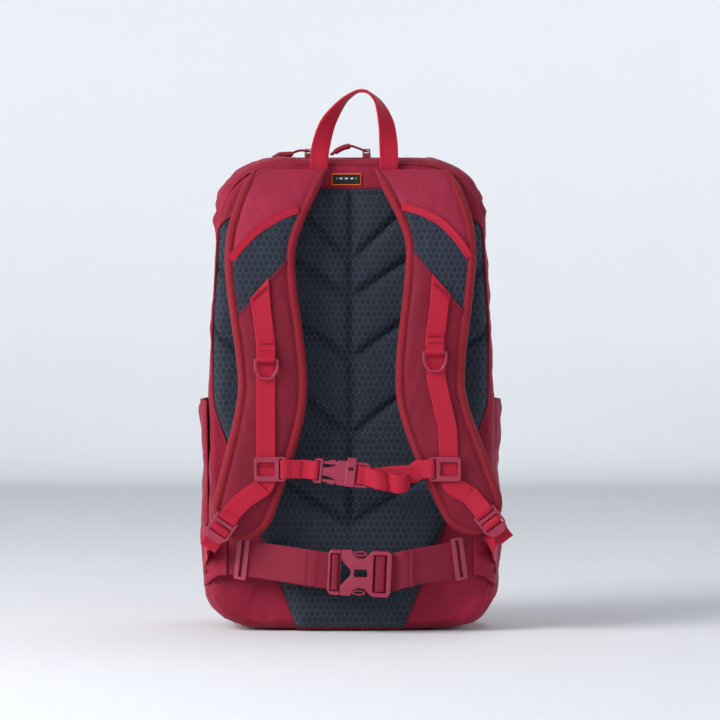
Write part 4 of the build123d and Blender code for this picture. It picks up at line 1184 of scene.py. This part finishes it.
# Tape through a ladder lock: along the lock, outward
LOWER_WRAP = ((-15, -7.0), (-10, -4.4), (-7.4, -2.0), (-6.6, 0), (-5.6, 2.2), (-3.0, 3.1), (-0.4, 2.4),
              (0.8, 0.2), (0.2, -2.2), (-3.5, -4.0), (-9, -6.6), (-20, -8.6), (-27, -9.6))
for name, side in SIDES.items():
    lock = LOCKS[name]
    route = [(153.6, -38, 76), (153.8, -52, 78), (153.0, -66, 81), (149.0, -84, 88), (145.5, -98, 95)]
    route = [(side * x, y, z) for x, y, z in route] + [lock.at(0, v, w) for v, w in LOWER_WRAP]
    ways = [(0, 0.1, 1), (0, 0.1, 1), (0, 0.15, 1), (side * -0.1, 0.5, 0.9), (side * -0.5, 0.4, 0.75)]
    turned = lock.x * (1 if lock.x @ np.array(ways[-1]) > 0 else -1)
    web = strap(f"lower_tape_{name}", route, ways + [turned] * len(LOWER_WRAP), LOWER_WIDE, 1.5, 7)
    blended(web, tape, tuple(lock.at(0, -9, -5) * M),
            f"lower_web_{name}")
    corner = []
    for y in np.linspace(-62, -34, 12):
        x = side * (152.6 + 1.1 * math.sin(math.pi * (y + 62) / 30))
        corner.append([(x, y, z) for z in np.linspace(61 + (y + 62) * -0.1, 99 + (y + 62) * 0.12, 14)])
    patch = sheet_mesh(f"side_wing_{name}", corner)
    thicken(patch, 1.6, 0.0)
    keep(patch, red_cloth, "root", "pack_fabric", f"strap_wing_{name}")
    for z in (63, 97):
        sew("root", [(side * 154.6, y, z) for y in (-60, -36)], (side, 0, 0), 2.8)

# ---- pockets

def side_x(ys, z):
    """How far across the body's side lies at depths, for a height."""
    found = []
    for y in ys:
        inset, low, high = section(y)
        ring = outline(HALF_WIDE - inset, low, high, 360)
        right = ring[ring[:, 0] > 30]
        right = right[np.argsort(right[:, 1])]
        found.append(np.interp(z, right[:, 1], right[:, 0]))
    return np.array(found)


POCKET_TOP = 243
for name, side in SIDES.items():
    pz = np.concatenate([np.linspace(12, 30, 8), np.linspace(34, 232, 56), [236, 239, 241.5, POCKET_TOP]])
    py = np.concatenate([[-46.5, -46, -44.5, -42], np.linspace(-38, 48, 30), [51, 53, 54, 54.5]])
    rise = np.clip(np.sin(np.pi * np.clip((py + 46.5) / 101, 0, 1)), 0, 1) ** 0.42
    grid = []
    for z in pz:
        # the body's side bends little between these depths, so most rows take every sixth
        few = py if z < 80 or z == POCKET_TOP else py[::6]
        x = np.interp(py, few, side_x(few, z))
        swell = 7.2 + 1.6 * bell(z - 232, 26) + 1.5 * bell(z - 105, 40) - 1.6 * bell(z - 165, 26)
        swell *= 1 - bell(z - 8, 12) * 0.9 - 0.3 * bell(POCKET_TOP - z, 6)
        p = np.column_stack([np.full(len(py), side * 155.0), py, np.full(len(py), z)])
        wrinkle = (1.3 * ripple(p * [1, 0.8, 1], 36, 51 + side) + 0.5 * ripple(p, 15, 52 + side)) * rise
        gather = 0.7 * np.sin(py * 0.75) * bell(POCKET_TOP - z, 14) * rise
        p[:, 0] = side * (x + 0.6 + swell * rise + wrinkle + gather)
        grid.append(p)
    pocket = fix_normals(sheet_mesh(f"side_pocket_{name}_cloth", grid))
    thicken(pocket, 1.5, 0.0)
    keep(pocket, pocket_cloth, "root", "pocket_fabric", f"side_pocket_{name}")
    top = grid[-1]
    hem = sweep(f"side_pocket_{name}_hem", top + [0, 0, -4.6], (0, 0, 1), band_ring(10.5, 3.2))
    keep(hem, edge_tape, "root", "binding")
    for drop in (8.6, 1.4):
        sew("root", top[3:-3] + [side * 1.75, 0, -drop], (side, 0, 0), 2.8)


def rounded_box(half, low, high, radius, count=220):
    corners = [(0, low), (half, low), (half, high), (-half, high), (-half, low)]
    return closed_even(rounded(corners, [1, radius, radius, radius, radius], closed=True, steps=14), count)


# Depth, half width, foot, top and corner radius of each ring of the front pocket
POCKET_RINGS = (
    (91.0, 119, 19, 223, 29), (94, 119, 19.4, 222.6, 29), (100, 118, 21, 221, 29),
    (106, 115.6, 24, 218.4, 28), (112, 111, 29, 213.6, 27), (116, 105, 35, 208, 26),
    (118.6, 98, 42, 202.5, 24), (119.4, 90, 50, 197, 22), (119.5, 80, 60, 193, 20),
    (119.5, 66, 74, 189, 16), (119.5, 48, 92, 186, 12), (119.5, 24, 118, 180, 8))
rings = np.array([upright(rounded_box(*box), y) for y, *box in POCKET_RINGS])
p = rings.reshape(-1, 3)
swell = 2.6 * (1 - bell(p[:, 2] - 184, 26)) * np.clip((p[:, 1] - 112) / 7, 0, 1)
wrinkle = (0.8 * ripple(p, 44, 61) + 0.35 * ripple(p, 17, 62)) * np.clip((p[:, 1] - 93) / 6, 0, 1)
p[:, 1] += swell + wrinkle * (1 - bell(p[:, 2] - 184, 14))
pocket = stack_mesh("front_pocket_cloth", rings, caps(*rings.shape[:2])[1:])
if np.mean([f.normal.y for f in pocket.data.polygons if f.center.y > 0.118]) < 0:
    pocket.data.flip_normals()
keep(pocket, red_cloth, "root", "pack_fabric", "front_pocket")
thicken(pocket, 1.6, inside=lining_cloth)
seam = upright(rounded_box(118.6, 19.6, 222.4, 29, 260), 93.4)
keep(tube("front_pocket_piping", seam, 1.5, closed=True), edge_tape, "root", "pack_fabric")

# ---- zips

COIL_PITCH, TOOTH = 2.3, (1.5, 1.7, 1.3)


def teeth(name, body, path, side_way, out):
    """One row of coil teeth along a path."""
    path = np.asarray(path, float)
    along = lengths(path)
    count = int(along[-1] / COIL_PITCH)
    at = (np.arange(count) + 0.5) * COIL_PITCH
    mids = sample(path, along, at)
    ahead = unit(sample(path, along, at + 0.5) - mids)
    n = unit(sample(np.broadcast_to(out, path.shape), along, at))
    w = np.broadcast_to(np.array(side_way, float), mids.shape)
    verts, faces = [], []
    ring = [(-0.5, -0.2, 0), (-0.3, 0.25, 0.42), (0.0, 0.5, 0.5), (0.35, 0.35, 0.5), (0.5, 0.1, 0.3),
            (0.5, -0.35, 0)]
    for i in range(count):
        base = len(verts)
        for a in (-0.5, -0.34, 0.34, 0.5):
            f = 0.72 if abs(a) == 0.5 else 1.0
            for u, v, q in ring:
                verts.append(mids[i] + ahead[i] * a * TOOTH[0] + w[i] * u * TOOTH[1] * f
                             + n[i] * (q + 0.3 * v) * TOOTH[2] * f)
        for quad in grid_faces(4, 6, False, True) + caps(4, 6):
            faces.append(tuple(base + c for c in quad))
    return keep(make(name, verts, faces), coil_plastic, body, "zip_tape")


def rim_out(path):
    """Outward directions of the pack's outline along a path, in the front view."""
    ahead = unit(np.gradient(path, axis=0))
    n = np.stack([-ahead[:, 2], np.zeros(len(path)), ahead[:, 0]], 1)
    centre = np.array([0, path[0, 1], 300])
    return n * np.sign(np.sum(n * (path - centre), 1, keepdims=True))


# Kind, body, near and far edge of the tape, depth of the teeth, their way and the seams' depths
for kind, body, near, far, row_y, way, seams in (
    ("shell", "root", 3.2, 13.5, 13.1, 1, (4.6, 8.8)),
    ("cover", "front_cover", 14.5, 20.0, 14.9, -1, (18.6,)),
):
    path = rim((near + far) / 2, 0.75, 520, low=COVER_Z + 1.2)
    tape_strip = sweep(f"zip_{kind}_tape", path, (0, 1, 0), band_ring(far - near, 0.9))
    keep(tape_strip, edge_tape, body, "zip_tape", f"zip_tape_{kind}")
    row = rim(row_y, 1.0, 520, low=COVER_Z + 3)
    teeth(f"zip_{kind}_teeth", body, row, (0, way, 0), rim_out(row))
    for y in seams:
        line = rim(y, 1.15, 400, low=COVER_Z + 2)
        sew(body, line, rim_out(line))

path = [(x, 120.0, 184) for x in np.linspace(-80, 80, 60)]
pocket_tape = sweep("pocket_zip_cloth", path, (0, 0, 1), band_ring(12, 0.9))
keep(pocket_tape, edge_tape, "root", "zip_tape", "pocket_zip_tape")
for row, way, z in (("low", 1, 183.35), ("high", -1, 184.65)):
    path = [(x, 120.3, z) for x in np.linspace(-76, 76, 80)]
    teeth(f"pocket_zip_teeth_{row}", "root", path, (0, 0, way), (0, 1, 0))
for z in (179.4, 188.6):
    sew("root", [(-78, 120.5, z), (78, 120.5, z)], (0, 1, 0), 2.8)

# cord pulls: the plane of each, and how far its cord hangs off that plane along its length
PULLS = {"main_pull_left": (Flat((-45, 14, 508.1), (-1, 0, 0), (0, 0, 1)),
                                 (0, 1.0, 0.8, -2.4, -3.2, -3.6, -6.2)),
         "main_pull_right": (Flat((17, 14, 508.1), (-1, 0, 0), (0, 0, 1)),
                                  (0, 2.2, 4.8, 5.6, 4.4, 1.6, -3.4)),
         "pocket_pull": (Flat((-60, 127.6, 184), (0, 0, -1), (0, 1, 0)),
                              (0, 0.6, 0.9, 0.6, -0.2, -1.2, -2.0))}
CORD_LEG = ((24, -0.9, 0.2), (19, -1.2, 0.3), (15, -2.0, 0.2), (9, -2.5, 0), (3.5, -2.3, 0.1),
            (-0.2, -1.3, 0.15))
CORD_LOOP = (*CORD_LEG, (-0.9, 0, 0.15), *[(u, -v, w) for u, v, w in CORD_LEG[::-1]])
KNOT = ((36.2, -1.6, -0.9), (35.4, 0.8, 1.2), (36.8, 1.9, -0.6), (38.0, -0.6, 0.9), (36.4, -1.8, 0.3))
GRIP_START, GRIP_LENGTH = 16.4, 18.8
braid = woven_tape("braided_cord", (0.23, 0.005, 0.020), 0.55, 0.9)
for name, (pl, slack) in PULLS.items():
    hang = catmull(list(zip((0, 6, 12, 18, 24, 30, 38), slack)), 8)

    def drape(u, v=0.0, w=0.0):
        return pl.at(u, v, w + np.interp(u, hang[:, 0], hang[:, 1]))

    cord = tube(f"{name}_cord", catmull([drape(*q) for q in CORD_LOOP], 8), 1.25, 10)
    keep(cord, braid, name, "cord", name)
    spans = ((GRIP_START, 20, 7), (20.6, 31.5, 23), (32, 35.2, 7))
    us = np.concatenate([np.linspace(*span) for span in spans])
    rings = []
    for u in us:
        t = (u - GRIP_START) / GRIP_LENGTH
        r = 3.1 * min(1, (t / 0.12) ** 0.5, (max(1 - t, 0) / 0.10) ** 0.5)
        r = max(r, 0.9) - 0.22 * (math.sin(u * 3.3) > 0.35) * (0.15 < t < 0.85)
        rings.append(round_ring(max(r * 1.2, 0.6), max(r, 0.5), 18))
    keep(sweep(f"{name}_grip", [drape(u) for u in us], pl.y, rings), grip_rubber, name, "cord")
    keep(tube(f"{name}_knot", catmull([drape(*q) for q in KNOT], 6), 1.25), braid, name, "cord")

# ---- base and inside

rings = []
for z, half, deep, radius in ((2.6, 92.5, 49.5, 20), (1.6, 93.2, 50.2, 20), (0.5, 92.4, 49.4, 20),
                              (0.0, 89.5, 46.5, 18), (0.0, 60, 24, 10)):
    ring = rounded_box(half, -deep, deep, radius, 180)
    rings.append(np.column_stack([ring, np.full(180, z)]))
foot = stack_mesh("base_cloth", rings, caps(5, 180)[::-1])
keep(foot, base_cloth, "root", "pack_fabric", "base_panel")

rows = []
angle = np.linspace(0, 2 * np.pi, 72, endpoint=False)
for z in (140.0, 140.5, 142, 146, *range(152, 392, 8), 396, 399, 400):
    shut = min(1, (z - 139.6) / 8)
    x = 94 * np.sign(np.cos(angle)) * np.abs(np.cos(angle)) ** 0.35
    y = -54.3 + (1.0 + 4.6 * shut) * np.sin(angle) * (1 + 0.12 * np.sin(z * 0.07 + x * 0.05))
    rows.append(np.column_stack([x, y, np.full(72, z)]))
sleeve = stack_mesh("water_sleeve", rows, [list(range(72))])
thicken(sleeve, 1.0)
keep(sleeve, lining_cloth, "root", "lining", "hydration_sleeve")
sew("root", [(x, -48.3, 392) for x in (-84, 84)], (0, 1, 0))

for body, (parts, faces, count) in threads.items():
    keep(make(f"{body}_stitches", np.vstack(parts), faces), thread, body, "webbing")

# ---- stage

# a round sweep: a flat floor that turns up into a wall all round
FLOOR_ROWS = 25
stage_path = catmull([(1, 0), (1300, 0), (2600, 0), (3700, 40), (4800, 260), (5700, 900), (6350, 2100),
                      (6600, 4600)], 12)
stage_path[:FLOOR_ROWS, 1] = 0
stage_turn = np.linspace(0, 2 * math.pi, 96, endpoint=False)
stage_grid = [[(r * math.cos(a), r * math.sin(a), z) for a in stage_turn] for r, z in stage_path]
floor = sheet_mesh("studio_floor", stage_grid, wrap_cols=True)
paper = Net("paper", 0.85)
paper.put("Base Color", paper.mix(paper.noise(1.2, 2), (0.805, 0.815, 0.845), (0.825, 0.835, 0.86)))
floor.data.materials.append(paper.mat)
